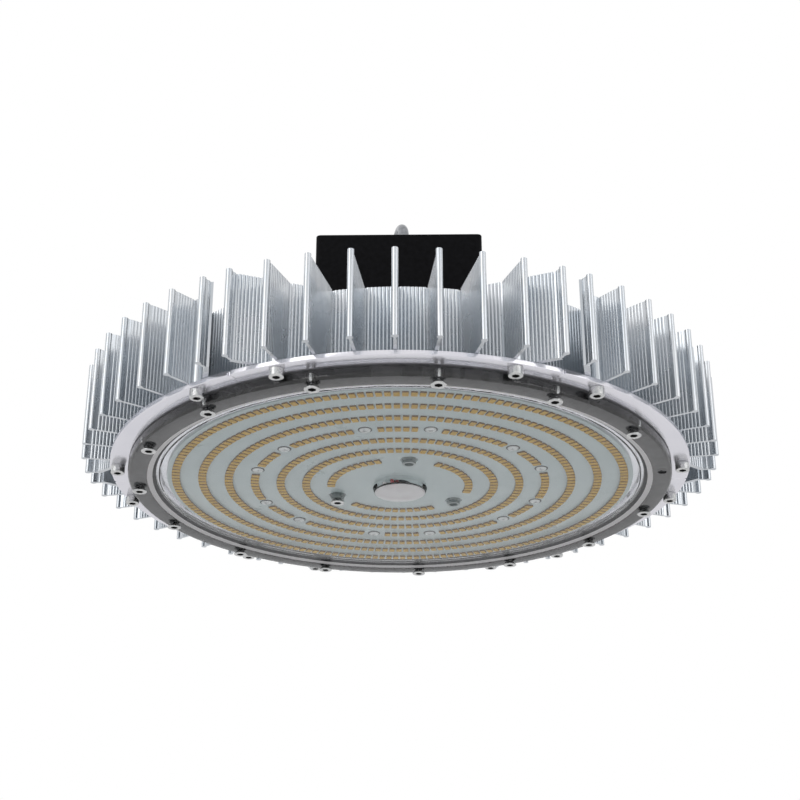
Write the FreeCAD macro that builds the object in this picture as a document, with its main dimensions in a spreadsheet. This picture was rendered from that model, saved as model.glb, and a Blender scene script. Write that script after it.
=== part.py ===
"""High bay light: a ring of six fluted aluminium heat-sink segments on a round plate,
with an LED board and a clear cover below it and a driver housing with a lifting eye above.

Millimetres, +Z up. The origin is the centre of the underside, level with the faces of the
cover screws. The front of the light faces -Y, and the joints between the segments lie on
+X and every 60 degrees from there.
"""

import FreeCAD, Part
import math
import os
import re
import Sketcher

Vector = FreeCAD.Vector
Z_AXIS = Vector(0, 0, 1)

# Driving sizes. Lengths in millimetres, angles in degrees, counts as they are.
SIZES = {
    # round base plate
    "plate_radius": 182.3,
    "plate_thick": 3.0,
    "plate_notch": 1.2,
    # heat-sink segments
    "segment_count": 6,
    "fin_tip_radius": 200.0,
    "fin_height": 52.6,
    "fin_pitch": 6.847,
    "fin_thick": 2.0,
    "fin_bead": 1.8,
    "fin_shoulder": 4.5,
    "flute_pitch": 10.0,
    "flute_depth": 0.45,
    "wall_radius": 155.4,
    "wall_thick": 4.5,
    "wall_span": 26.6,
    "wing_thick": 2.6,
    "wing_end_radius": 193.0,
    "return_radius": 165.0,
    "return_thick": 3.2,
    "return_start": 18.2,
    "joint_gap": 0.15,
    "boss_radius": 4.4,
    # screws that hold the segments to the plate
    "segment_screw_circle": 177.3,
    "segment_screw_angle": 8.7,
    "cap_head_radius": 4.25,
    "cap_head_height": 5.0,
    "cap_key": 4.0,
    "cap_key_depth": 2.5,
    "cap_grip": 14.0,
    # clear cover, its seal and its screws
    "cover_radius": 171.0,
    "gasket_thick": 1.0,
    "gasket_inner": 153.8,
    "rim_depth": 5.6,
    "rim_inner": 159.0,
    "rim_edge": 1.5,
    "window_edge": 155.8,
    "window_step": 1.0,
    "window_thick": 2.8,
    "cavity_radius": 152.0,
    "dome_base": 17.2,
    "dome_face": 16.4,
    "dome_depth": 3.1,
    "dome_wall": 2.0,
    "post_radius": 4.2,
    "post_circle": 43.7,
    "post_count": 3,
    "cover_screw_circle": 164.8,
    "cover_screw_count": 15,
    "cover_screw_turn": 8.0,
    "cover_head_radius": 4.5,
    "head_proud": 2.7,
    "cover_key": 4.2,
    "cover_key_depth": 1.8,
    "bolt_radius": 2.5,
    "bolt_clearance": 0.25,
    # LED board and its screws
    "board_radius": 147.0,
    "board_thick": 1.6,
    "board_screw_circle": 92.3,
    "board_screw_angle": 12.0,
    "board_screw_radius": 1.5,
    "board_head_radius": 3.3,
    "board_head_height": 1.0,
    "board_clearance": 0.2,
    "post_clearance": 1.3,
    # driver housing
    "housing_width": 107.0,
    "housing_height": 134.7,
    "housing_edge": 2.5,
    "sheet_thick": 1.5,
    "sheet_clearance": 0.2,
    "tray_depth": 20.0,
    "tray_relief": 4.0,
    "tray_hole": 12.0,
    "standoff_height": 12.0,
    "standoff_flats": 8.0,
    "standoff_place": 43.0,
    "small_screw_radius": 2.0,
    "small_head_radius": 3.7,
    "small_head_height": 2.4,
    "small_thread": 6.0,
    "side_screw_place": 32.0,
    "side_screw_height": 10.0,
    # LED driver and mains terminal
    "driver_width": 84.0,
    "driver_depth": 36.0,
    "driver_height": 98.0,
    "driver_foot": 8.0,
    "foot_width": 16.0,
    "foot_thick": 2.0,
    "foot_screw_length": 3.5,
    "terminal_width": 32.0,
    "terminal_depth": 17.0,
    "terminal_height": 15.0,
    "terminal_place": 34.0,
    # leads to the board, and from the terminal to the driver
    "lead_radius": 1.1,
    "lead_spread": 4.0,
    "lead_bend": 3.0,
    "lead_hole": 7.0,
    "red_lead_turn": 240.0,
    "black_lead_turn": 190.0,
    "supply_lead_rise": 20.0,
    "supply_lead_bend": 5.0,
    "supply_lead_pitch": 10.0,
    # cable gland
    "gland_radius": 8.0,
    "gland_bore": 4.5,
    "gland_flats": 22.0,
    "gland_flange": 4.0,
    "gland_inside": 9.0,
    "gland_cap_length": 14.0,
    "gland_nut_thick": 4.0,
    "gland_drop": 17.0,
    # lifting eye
    "eye_bore": 10.2,
    "eye_wire": 3.5,
    "eye_land": 3.0,
    "eye_neck": 1.6,
    "eye_collar": 8.0,
    "eye_collar_height": 2.6,
    "eye_yaw": 12.0,
    "eye_shank": 4.0,
    "eye_clearance": 0.25,
    "eye_shank_length": 15.0,
    "eye_nut_flats": 13.0,
    "eye_nut_height": 6.5,
    "washer_radius": 9.6,
    "washer_thick": 1.6,
}

# Heights and places that follow from the driving sizes.
LEVELS = {
    "gasket_bottom": "head_proud + rim_depth",
    "plate_bottom": "gasket_bottom + gasket_thick",
    "plate_top": "plate_bottom + plate_thick",
    "board_bottom": "plate_bottom - board_thick",
    "window_bottom": "head_proud + window_step",
    "window_top": "window_bottom + window_thick",
    "dome_bottom": "window_bottom - dome_depth",
    "fin_top": "plate_top + fin_height",
    "segment_angle": "360 / segment_count",
    "half_segment": "segment_angle / 2",
    "boss_angle": "half_segment - segment_screw_angle",
    "wall_half": "wall_span / 2",
    "wing_end": "4 * fin_pitch",
    "wing_turn": "wing_end - wall_half",
    "wing_length": "sqrt(wall_radius ^ 2 + wing_end_radius ^ 2"
                   " - 2 * wall_radius * wing_end_radius * cos(wing_turn))",
    "wing_slope_x": "(wing_end_radius * cos(wing_end) - wall_radius * cos(wall_half)) / wing_length",
    "wing_slope_y": "(wing_end_radius * sin(wing_end) - wall_radius * sin(wall_half)) / wing_length",
    "long_root": "wall_radius - wall_thick / 2",
    "wing_cross": "wall_radius * wing_end_radius * sin(wing_turn)",
    "middle_root": "wing_cross / (wall_radius * sin(3 * fin_pitch - wall_half)"
                   " + wing_end_radius * sin(fin_pitch)) - wing_thick / 2",
    "short_root": "wing_end_radius - wing_thick / 2",
    "tray_bottom": "plate_top + standoff_height",
    "tray_floor": "tray_bottom + sheet_thick",
    "tray_half": "housing_width / 2 - sheet_thick - sheet_clearance",
    "foot_screw_place": "driver_width / 2 + driver_foot / 2",
    "housing_top": "tray_bottom + housing_height",
    "housing_ceiling": "housing_top - sheet_thick",
    "side_screw_level": "tray_floor + side_screw_height",
    "gland_level": "housing_ceiling - gland_drop",
    "eye_seat": "housing_top + washer_thick",
    "eye_wire_circle": "eye_bore + sqrt(eye_wire ^ 2 - (eye_land / 2) ^ 2)",
    "eye_centre": "eye_seat + eye_neck + eye_wire_circle + eye_wire",
    "nut_top": "housing_ceiling - washer_thick",
    "bolt_hole": "bolt_radius + bolt_clearance",
}

doc = FreeCAD.newDocument("high_bay_light")
kept = []


def fill_sheet(name, rows, formula):
    """Writes one row of words, value and alias for each entry."""
    sheet = doc.addObject("Spreadsheet::Sheet", name)
    for number, (alias, value) in enumerate(rows.items(), start=1):
        sheet.set("A%d" % number, alias.replace("_", " "))
        sheet.set("B%d" % number, formula(value))
        sheet.setAlias("B%d" % number, alias)
    doc.recompute()
    return sheet


def bound(words, own=False):
    """Turns a formula in plain words into an expression on the cells of the two sheets."""

    def cell(match):
        word = match.group(0)
        if word in SIZES:
            return "<<sizes>>." + word
        if word in LEVELS and not own:
            return "<<levels>>." + word
        return word

    return re.sub(r"[a-z_]+", cell, words)


sizes = fill_sheet("sizes", SIZES, str)
levels = fill_sheet("levels", LEVELS, lambda words: "=" + bound(words, own=True))


def size(name):
    """The present value of a cell, as a number."""
    return float(getattr(sizes if name in SIZES else levels, name))


# ---------------------------------------------------------------- drawing and features


def new_body(label, keep=True):
    body = doc.addObject("PartDesign::Body", label)
    body.Label = label
    if keep:
        kept.append(body)
    return body


def origin_plane(body, role):
    return [item for item in body.Origin.OriginFeatures if item.Role == role][0]


def new_sketch(body, name, role="XY_Plane", lift="0", turn="0", shift=("0", "0"), about=Z_AXIS):
    """A sketch on one of the body's planes: lifted along its normal, shifted, then turned."""
    sketch = body.newObject("Sketcher::SketchObject", name)
    sketch.AttachmentSupport = (origin_plane(body, role), [""])
    sketch.MapMode = "FlatFace"
    start = FreeCAD.Rotation(about, 1.0 if turn != "0" else 0.0)
    sketch.AttachmentOffset = FreeCAD.Placement(Vector(), start)
    for letter, place in zip("xyz", (shift[0], shift[1], lift)):
        if place != "0":
            sketch.setExpression("AttachmentOffset.Base." + letter, bound(place))
    if turn != "0":
        sketch.setExpression("AttachmentOffset.Rotation.Angle", bound(turn))
    return sketch


def fix_point(sketch, shape, point, x, y):
    """Ties a point to its place, given as two formulas measured from the origin."""
    for kind, place, axis in (("DistanceX", x, -2), ("DistanceY", y, -1)):
        if place == "0":
            sketch.addConstraint(Sketcher.Constraint("PointOnObject", shape, point, axis))
        else:
            tie = Sketcher.Constraint(kind, -1, 1, shape, point, 1.0)
            number = sketch.addConstraint(tie)
            sketch.setExpression("Constraints[%d]" % number, bound(place))


def polygon(sketch, corners):
    """A closed run of straight lines through corners given as pairs of formulas."""
    first = sketch.GeometryCount
    count = len(corners)
    turn = 2 * math.pi / count
    loose = [Vector(math.cos(i * turn), math.sin(i * turn), 0) for i in range(count)]
    for i in range(count):
        sketch.addGeometry(Part.LineSegment(loose[i], loose[(i + 1) % count]), False)
    for i in range(count):
        follower = first + (i + 1) % count
        sketch.addConstraint(Sketcher.Constraint("Coincident", first + i, 2, follower, 1))
    for i, (x, y) in enumerate(corners):
        fix_point(sketch, first + i, 1, x, y)


def rectangle(sketch, left, right, low, high):
    polygon(sketch, [(left, low), (right, low), (right, high), (left, high)])


def circle(sketch, radius, x="0", y="0"):
    number = sketch.addGeometry(Part.Circle(Vector(0, 0, 0), Z_AXIS, 1.0), False)
    fix_point(sketch, number, 3, x, y)
    tie = sketch.addConstraint(Sketcher.Constraint("Radius", number, 1.0))
    sketch.setExpression("Constraints[%d]" % tie, bound(radius))


def flat_sided(sketch, radius, x="0", y="0", sides=8):
    """A round outline in few flats, for shanks, threads and heads that repeat."""
    corners = []
    for step in range(sides):
        along = "(%s) * cos(%g)" % (radius, (step + 0.5) * 360 / sides)
        across = "(%s) * sin(%g)" % (radius, (step + 0.5) * 360 / sides)
        corners.append((along if x == "0" else "%s + %s" % (x, along),
                        across if y == "0" else "%s + %s" % (y, across)))
    polygon(sketch, corners)


def hexagon(sketch, flats, x="0", y="0"):
    """A hexagon given by its width across flats, with two corners on the line of x."""
    corners = []
    for step in range(6):
        spoke = "(%s) / (2 * cos(30))" % flats
        along = "%s * cos(%d)" % (spoke, 60 * step)
        across = "%s * sin(%d)" % (spoke, 60 * step) if step % 3 else "0"
        corners.append((along if x == "0" else "%s + %s" % (x, along),
                        across if y == "0" else "%s + %s" % (y, across)))
    polygon(sketch, corners)


def pad(body, sketch, length, reversed_way=False):
    feature = body.newObject("PartDesign::Pad", "Pad")
    feature.Profile = sketch
    feature.setExpression("Length", bound(length))
    feature.Reversed = reversed_way
    return feature


def pocket(body, sketch, length, upward=True):
    """A cut of the given depth from the sketch, along its normal or against it."""
    doc.recompute()
    before = body.Shape.Volume
    feature = body.newObject("PartDesign::Pocket", "Pocket")
    feature.Profile = sketch
    feature.setExpression("Length", bound(length))
    feature.Reversed = upward
    doc.recompute()
    if feature.Shape.Volume >= before:
        raise RuntimeError("a pocket in %s removes nothing" % body.Label)
    return feature


def revolve(body, sketch, axis="V_Axis", angle=360.0, reversed_way=False):
    feature = body.newObject("PartDesign::Revolution", "Revolution")
    feature.Profile = sketch
    feature.ReferenceAxis = (sketch, [axis])
    feature.Angle = angle
    feature.Reversed = reversed_way
    return feature


def polar(body, features, count, angle="360"):
    """Repeats features about the body's Z axis."""
    doc.recompute()
    pattern = body.newObject("PartDesign::PolarPattern", "PolarPattern")
    pattern.Originals = features
    pattern.Axis = (origin_plane(body, "Z_Axis"), [""])
    pattern.setExpression("Angle", bound(angle))
    pattern.setExpression("Occurrences", bound(count))
    body.Tip = pattern
    doc.recompute()
    return pattern


def mirror(body, features, role):
    doc.recompute()
    twin = body.newObject("PartDesign::Mirrored", "Mirrored")
    twin.Originals = features
    twin.MirrorPlane = (origin_plane(body, role), [""])
    body.Tip = twin
    doc.recompute()
    return twin


def ring_places(radius, angles):
    """Places on a circle about Z, each angle counted from the front at -Y towards +X."""
    spots = []
    for angle in angles:
        turn = FreeCAD.Rotation(Z_AXIS, angle - 90)
        spots.append(FreeCAD.Placement(turn.multVec(Vector(radius, 0, 0)), turn))
    return spots


def group(label, master, places):
    """One node of equal fasteners: a separate solid of the master at each place."""
    doc.recompute()
    solids = []
    for place in places:
        copy = master.Shape.copy()
        copy.Placement = place
        solids.append(copy)
    feature = doc.addObject("Part::Feature", label)
    feature.Label = label
    feature.Shape = Part.makeCompound(solids)
    kept.append(feature)
    return feature


# ---------------------------------------------------------------- heat-sink segments


def on_circle(radius, angle):
    return "(%s) * cos(%s)" % (radius, angle), "(%s) * sin(%s)" % (radius, angle)


def arc_corners(radius, first, last, chords):
    """Corners of a run of equal chords along an arc about Z."""
    corners = []
    for i in range(chords + 1):
        share = i / chords
        angle = "(%s) * %g + (%s) * %g" % (first, 1 - share, last, share)
        corners.append(on_circle(radius, angle))
    return corners


def fin_outline(sketch, root):
    """One fin along +X: fluted sides from the root to a rounded bead at the tip."""
    end = "fin_tip_radius - fin_shoulder"
    room = size("fin_tip_radius") - size("fin_shoulder") - size(root)
    teeth = int(room / size("flute_pitch"))
    side = [(root, "fin_thick / 2")]
    for tooth in range(teeth):
        crest = "%s - %g * flute_pitch" % (end, teeth - tooth - 0.5)
        valley = "%s - %g * flute_pitch" % (end, teeth - tooth - 1)
        side.append((crest, "fin_thick / 2 + flute_depth"))
        side.append((valley, "fin_thick / 2"))
    if room < size("flute_pitch"):
        side = [(root, "fin_thick / 2"), (end, "fin_thick / 2")]
    side.append(("fin_tip_radius - fin_bead", "fin_bead"))
    side.append(("fin_tip_radius", "fin_bead * 0.45"))
    other = [(x, "-(%s)" % y) for x, y in reversed(side)]
    polygon(sketch, side + other)


def add_fin(body, root, turn):
    sketch = new_sketch(body, "fin", lift="plate_top", turn=turn)
    fin_outline(sketch, root)
    return pad(body, sketch, "fin_height")


def add_arc_wall(body, outer, thick, first, last, chords):
    sketch = new_sketch(body, "wall", lift="plate_top")
    outside = arc_corners(outer, first, last, chords)
    inside = arc_corners("%s - %s" % (outer, thick), last, first, chords)
    polygon(sketch, outside + inside)
    return pad(body, sketch, "fin_height")


def add_wing(body):
    """The straight web from the end of the curved wall out to the last fin."""
    sketch = new_sketch(body, "wing", lift="plate_top")
    near = on_circle("wall_radius", "wall_half")
    far = on_circle("wing_end_radius", "wing_end")
    corners = [near, far]
    for x, y in (far, near):
        corners.append((x + " - wing_thick * wing_slope_y", y + " + wing_thick * wing_slope_x"))
    polygon(sketch, corners)
    return pad(body, sketch, "fin_height")


def make_segment():
    """One sixth of the heat sink, extruded, with its middle fin along +X."""
    body = new_body("heatsink_segment_1")
    add_arc_wall(body, "wall_radius", "wall_thick", "-(wall_half)", "wall_half", 8)
    wing = add_wing(body)
    seam = add_arc_wall(body, "return_radius", "return_thick",
                        "return_start", "half_segment - joint_gap", 3)
    mirror(body, [wing, seam], "XZ_Plane")
    fin = add_fin(body, "long_root", "-2 * fin_pitch")
    polar(body, [fin], "5", "4 * fin_pitch")
    middle = add_fin(body, "middle_root", "3 * fin_pitch")
    last = add_fin(body, "short_root", "4 * fin_pitch")
    sketch = new_sketch(body, "boss", lift="plate_top")
    centre = on_circle("segment_screw_circle", "boss_angle")
    flat_sided(sketch, "boss_radius", *centre, sides=12)
    boss = pad(body, sketch, "fin_height")
    mirror(body, [middle, last, boss], "XZ_Plane")
    sketch = new_sketch(body, "thread", lift="plate_top", turn="boss_angle")
    flat_sided(sketch, "bolt_radius", "segment_screw_circle", "0")
    mirror(body, [pocket(body, sketch, "cap_grip")], "XZ_Plane")
    doc.recompute()
    return body


segment = make_segment()
count = int(size("segment_count"))
base_turn = FreeCAD.Rotation(Z_AXIS, -90)
for number in range(2, count + 1):
    twin = doc.addObject("Part::Feature", "heatsink_segment_%d" % number)
    twin.Label = "heatsink_segment_%d" % number
    twin.Shape = segment.Shape.copy()
    twin.Placement = FreeCAD.Placement(Vector(), FreeCAD.Rotation(Z_AXIS, 1.0))
    twin.setExpression("Placement.Rotation.Angle", bound("segment_angle * %d - 90" % (number - 1)))
    kept.append(twin)
segment.Placement = FreeCAD.Placement(Vector(), base_turn)

# ---------------------------------------------------------------- base plate and gasket

plate = new_body("base_plate")
sketch = new_sketch(plate, "disc", lift="plate_bottom")
circle(sketch, "plate_radius")
pad(plate, sketch, "plate_thick")


def ring_of_holes(body, level, depth, radius, across, turn, number):
    """A ring of round holes, the first one turned from the front at -Y towards +X."""
    spot = new_sketch(body, "holes", lift=level, turn=turn)
    flat_sided(spot, across, "0", "-(%s)" % radius)
    cut = pocket(body, spot, depth)
    polar(body, [cut], number)


def plate_holes(radius, across, turn, number):
    ring_of_holes(plate, "plate_bottom", "plate_thick", radius, across, turn, number)


for side in ("-", ""):
    plate_holes("segment_screw_circle", "bolt_hole",
                "half_segment %s segment_screw_angle" % (side or "+"), "segment_count")
plate_holes("plate_radius", "plate_notch", "half_segment", "segment_count")
plate_holes("cover_screw_circle", "bolt_radius", "cover_screw_turn", "cover_screw_count")
for side in ("-", ""):
    plate_holes("board_screw_circle", "board_screw_radius", "%s board_screw_angle" % side,
                "segment_count")
plate_holes("post_circle", "bolt_radius", "cover_screw_turn", "post_count")
plate_holes("standoff_place * sqrt(2)", "small_screw_radius", "45", "4")
sketch = new_sketch(plate, "lead_hole", lift="plate_bottom")
circle(sketch, "lead_hole")
pocket(plate, sketch, "plate_thick")

gasket = new_body("gasket")
sketch = new_sketch(gasket, "ring", lift="gasket_bottom")
circle(sketch, "cover_radius")
circle(sketch, "gasket_inner")
pad(gasket, sketch, "gasket_thick")
ring_of_holes(gasket, "gasket_bottom", "gasket_thick", "cover_screw_circle", "bolt_hole",
              "cover_screw_turn", "cover_screw_count")

# ---------------------------------------------------------------- clear cover

cover = new_body("lens_cover")
sketch = new_sketch(cover, "section", role="XZ_Plane")
polygon(sketch, [
    ("0", "dome_bottom"),
    ("dome_face", "dome_bottom"),
    ("dome_base", "window_bottom"),
    ("window_edge", "window_bottom"),
    ("rim_inner", "head_proud"),
    ("cover_radius - rim_edge", "head_proud"),
    ("cover_radius - rim_edge * 0.3", "head_proud + rim_edge * 0.3"),
    ("cover_radius", "head_proud + rim_edge"),
    ("cover_radius", "gasket_bottom"),
    ("cavity_radius", "gasket_bottom"),
    ("cavity_radius", "window_top"),
    ("dome_base - dome_wall", "window_top"),
    ("dome_face - dome_wall", "dome_bottom + dome_wall"),
    ("0", "dome_bottom + dome_wall"),
])
revolve(cover, sketch)
sketch = new_sketch(cover, "post", lift="head_proud", turn="cover_screw_turn")
flat_sided(sketch, "post_radius", "0", "-(post_circle)", sides=16)
post = pad(cover, sketch, "plate_bottom - head_proud")
polar(cover, [post], "post_count")
ring_of_holes(cover, "head_proud", "plate_bottom - head_proud", "post_circle", "bolt_hole",
              "cover_screw_turn", "post_count")
ring_of_holes(cover, "head_proud", "rim_depth", "cover_screw_circle", "bolt_hole",
              "cover_screw_turn", "cover_screw_count")

# ---------------------------------------------------------------- LED board

board = new_body("led_board")
sketch = new_sketch(board, "disc", lift="board_bottom")
circle(sketch, "board_radius")
circle(sketch, "lead_hole")
pad(board, sketch, "board_thick")
for side in ("-", ""):
    ring_of_holes(board, "board_bottom", "board_thick", "board_screw_circle",
                  "board_screw_radius + board_clearance", "%s board_screw_angle" % side,
                  "segment_count")
ring_of_holes(board, "board_bottom", "board_thick", "post_circle", "post_radius + post_clearance",
              "cover_screw_turn", "post_count")

# ---------------------------------------------------------------- screws


def cap_screw_master():
    screw = new_body("cap_screw_master", keep=False)
    spot = new_sketch(screw, "head", lift="plate_bottom")
    flat_sided(spot, "cap_head_radius", sides=12)
    pad(screw, spot, "cap_head_height", reversed_way=True)
    spot = new_sketch(screw, "shank", lift="plate_bottom")
    flat_sided(spot, "bolt_radius")
    pad(screw, spot, "plate_thick + cap_grip")
    spot = new_sketch(screw, "key", lift="plate_bottom - cap_head_height")
    hexagon(spot, "cap_key")
    pocket(screw, spot, "cap_key_depth")
    return screw


def cover_screw_master():
    screw = new_body("cover_screw_master", keep=False)
    spot = new_sketch(screw, "head")
    flat_sided(spot, "cover_head_radius", sides=12)
    pad(screw, spot, "head_proud")
    spot = new_sketch(screw, "shank", lift="head_proud")
    flat_sided(spot, "bolt_radius")
    pad(screw, spot, "plate_top - head_proud")
    spot = new_sketch(screw, "key")
    hexagon(spot, "cover_key")
    pocket(screw, spot, "cover_key_depth")
    return screw


def board_screw_master():
    screw = new_body("board_screw_master", keep=False)
    spot = new_sketch(screw, "head", lift="board_bottom")
    flat_sided(spot, "board_head_radius", sides=12)
    pad(screw, spot, "board_head_height", reversed_way=True)
    spot = new_sketch(screw, "shank", lift="board_bottom")
    flat_sided(spot, "board_screw_radius")
    pad(screw, spot, "board_thick + plate_thick")
    return screw


seams = [size("half_segment") + i * size("segment_angle") for i in range(count)]
near_seams = [seam + way * size("segment_screw_angle") for seam in seams for way in (-1, 1)]
group("cap_screws", cap_screw_master(), ring_places(size("segment_screw_circle"), near_seams))

cover_screw = cover_screw_master()
total = int(size("cover_screw_count"))
turns = [size("cover_screw_turn") + i * 360 / total for i in range(total)]
# The fourth place from the front has lost its screw.
rim_places = ring_places(size("cover_screw_circle"), turns[:3] + turns[4:])
group("lens_screws", cover_screw, rim_places)
post_turn = size("cover_screw_turn") - 360 / size("post_count")
group("centre_screw", cover_screw, ring_places(size("post_circle"), [post_turn]))

middles = [i * size("segment_angle") for i in range(count)]
near_middles = [spot + way * size("board_screw_angle") for spot in middles for way in (-1, 1)]
group("board_screws", board_screw_master(), ring_places(size("board_screw_circle"), near_middles))

# ---------------------------------------------------------------- tray and its standoffs

tray = new_body("driver_tray")
sketch = new_sketch(tray, "outline", lift="tray_bottom")
rectangle(sketch, "-(tray_half)", "tray_half", "-(tray_half)", "tray_half")
pad(tray, sketch, "tray_depth")
sketch = new_sketch(tray, "hollow", lift="tray_floor")
inner = "tray_half - sheet_thick"
rectangle(sketch, "-(%s)" % inner, inner, "-(%s)" % inner, inner)
pocket(tray, sketch, "tray_depth")
sketch = new_sketch(tray, "relief", lift="tray_bottom")
relief = "tray_half - tray_relief"
rectangle(sketch, relief, "tray_half + 1", relief, "tray_half + 1")
corner = pocket(tray, sketch, "tray_depth")
polar(tray, [corner], "4")
sketch = new_sketch(tray, "lead_hole", lift="tray_bottom")
circle(sketch, "tray_hole")
for x, y in (("foot_screw_place", "0"), ("-(foot_screw_place)", "0")):
    flat_sided(sketch, "small_screw_radius", x, y)
for x in ("standoff_place", "-(standoff_place)"):
    for y in ("standoff_place", "-(standoff_place)"):
        flat_sided(sketch, "small_screw_radius + bolt_clearance", x, y)
pocket(tray, sketch, "sheet_thick")
for way in ("side_screw_place", "-(side_screw_place)"):
    sketch = new_sketch(tray, "side_thread", role="YZ_Plane", lift="-(housing_width)")
    flat_sided(sketch, "small_screw_radius", way, "side_screw_level")
    pocket(tray, sketch, "2 * housing_width")

standoff = new_body("standoff_master", keep=False)
sketch = new_sketch(standoff, "pillar", lift="plate_top")
hexagon(sketch, "standoff_flats")
pad(standoff, sketch, "standoff_height")
sketch = new_sketch(standoff, "stud", lift="plate_bottom")
flat_sided(sketch, "small_screw_radius")
pad(standoff, sketch, "plate_thick")
sketch = new_sketch(standoff, "thread", lift="tray_bottom")
flat_sided(sketch, "small_screw_radius")
pocket(standoff, sketch, "small_thread", upward=False)
corners = [45.0, 135.0, 225.0, 315.0]
stand_places = ring_places(size("standoff_place") * math.sqrt(2), corners)
group("standoffs", standoff, stand_places)


def pan_screw_master(label, level, reach):
    """A pan-head screw standing on a level with its thread going down by reach."""
    screw = new_body(label, keep=False)
    spot = new_sketch(screw, "head", lift=level)
    flat_sided(spot, "small_head_radius", sides=12)
    pad(screw, spot, "small_head_height")
    spot = new_sketch(screw, "shank", lift=level)
    flat_sided(spot, "small_screw_radius")
    pad(screw, spot, reach, reversed_way=True)
    return screw


tray_screw = pan_screw_master("tray_screw_master", "tray_floor", "sheet_thick + small_thread - 1")
group("tray_screws", tray_screw, stand_places)

# ---------------------------------------------------------------- housing

housing = new_body("driver_housing")
half = "housing_width / 2"
sketch = new_sketch(housing, "outline", lift="tray_bottom")
rectangle(sketch, "-(%s)" % half, half, "-(%s)" % half, half)
block = pad(housing, sketch, "housing_height")
doc.recompute()
uprights = []
for number, edge in enumerate(block.Shape.Edges, start=1):
    ends = [vertex.Point for vertex in edge.Vertexes]
    if len(ends) == 2 and abs(ends[0].z - ends[1].z) > size("housing_height") / 2:
        uprights.append("Edge%d" % number)
rounded = housing.newObject("PartDesign::Fillet", "Fillet")
rounded.Base = (block, uprights)
rounded.setExpression("Radius", bound("housing_edge"))
sketch = new_sketch(housing, "hollow", lift="tray_bottom")
inner = "housing_width / 2 - sheet_thick"
rectangle(sketch, "-(%s)" % inner, inner, "-(%s)" % inner, inner)
pocket(housing, sketch, "housing_height - sheet_thick")
sketch = new_sketch(housing, "eye_hole", lift="housing_ceiling")
circle(sketch, "eye_shank + eye_clearance")
pocket(housing, sketch, "sheet_thick")
for way in ("side_screw_place", "-(side_screw_place)"):
    sketch = new_sketch(housing, "side_hole", role="YZ_Plane", lift="-(housing_width)")
    flat_sided(sketch, "small_screw_radius + bolt_clearance", way, "side_screw_level")
    pocket(housing, sketch, "2 * housing_width")
sketch = new_sketch(housing, "gland_hole", role="XZ_Plane", lift="-(housing_width)")
circle(sketch, "gland_radius + bolt_clearance", "0", "gland_level")
pocket(housing, sketch, "housing_width")

side_screw = pan_screw_master("side_screw_master", "housing_width / 2", "2 * sheet_thick + 2")
on_sides = []
for way in (-1, 1):
    for along in (-1, 1):
        lie = FreeCAD.Rotation(Vector(0, 1, 0), 90 * way)
        spot = Vector(0, along * size("side_screw_place"), size("side_screw_level"))
        on_sides.append(FreeCAD.Placement(spot, lie))
group("housing_screws", side_screw, on_sides)

# ---------------------------------------------------------------- driver and terminal

driver = new_body("led_driver")
sketch = new_sketch(driver, "case", lift="tray_floor")
rectangle(sketch, "-(driver_width / 2)", "driver_width / 2", "-(driver_depth / 2)", "driver_depth / 2")
pad(driver, sketch, "driver_height")
sketch = new_sketch(driver, "feet", lift="tray_floor")
foot = "driver_width / 2 + driver_foot"
rectangle(sketch, "-(%s)" % foot, foot, "-(foot_width / 2)", "foot_width / 2")
pad(driver, sketch, "foot_thick")
sketch = new_sketch(driver, "foot_holes", lift="tray_floor")
for x in ("foot_screw_place", "-(foot_screw_place)"):
    flat_sided(sketch, "small_screw_radius + bolt_clearance", x, "0")
pocket(driver, sketch, "foot_thick")

foot_screw = pan_screw_master("foot_screw_master", "tray_floor + foot_thick", "foot_screw_length")
group("driver_screws", foot_screw, ring_places(size("foot_screw_place"), [90.0, 270.0]))

terminal = new_body("terminal_block")
sketch = new_sketch(terminal, "block", lift="tray_floor")
rectangle(sketch, "-(terminal_width / 2)", "terminal_width / 2",
          "terminal_place - terminal_depth / 2", "terminal_place + terminal_depth / 2")
pad(terminal, sketch, "terminal_height")
sketch = new_sketch(terminal, "wells", lift="tray_floor + terminal_height")
for pole in (-1, 0, 1):
    where = "%d * supply_lead_pitch" % pole if pole else "0"
    flat_sided(sketch, "2 * lead_radius", where, "terminal_place + terminal_depth / 4")
pocket(terminal, sketch, "terminal_height / 2", upward=False)

# ---------------------------------------------------------------- leads


def board_lead(label, turn):
    """A lead down from the driver, through tray, plate and board, and back up to its pad."""
    lead = new_body(label)
    spot = new_sketch(lead, "drop", lift="board_bottom", turn=turn)
    flat_sided(spot, "lead_radius", "lead_spread", "0")
    pad(lead, spot, "tray_floor - board_bottom")
    middle = on_circle("lead_spread + lead_bend", turn)
    spot = new_sketch(lead, "bend", lift="board_bottom", turn=turn, shift=middle)
    flat_sided(spot, "lead_radius", "-(lead_bend)", "0")
    loop = revolve(lead, spot, angle=180.0)
    doc.recompute()
    if loop.Shape.BoundBox.ZMin > size("board_bottom") - size("lead_radius"):
        loop.Reversed = True
    return lead


board_lead("lead_red", "red_lead_turn")
board_lead("lead_black", "black_lead_turn")

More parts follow.
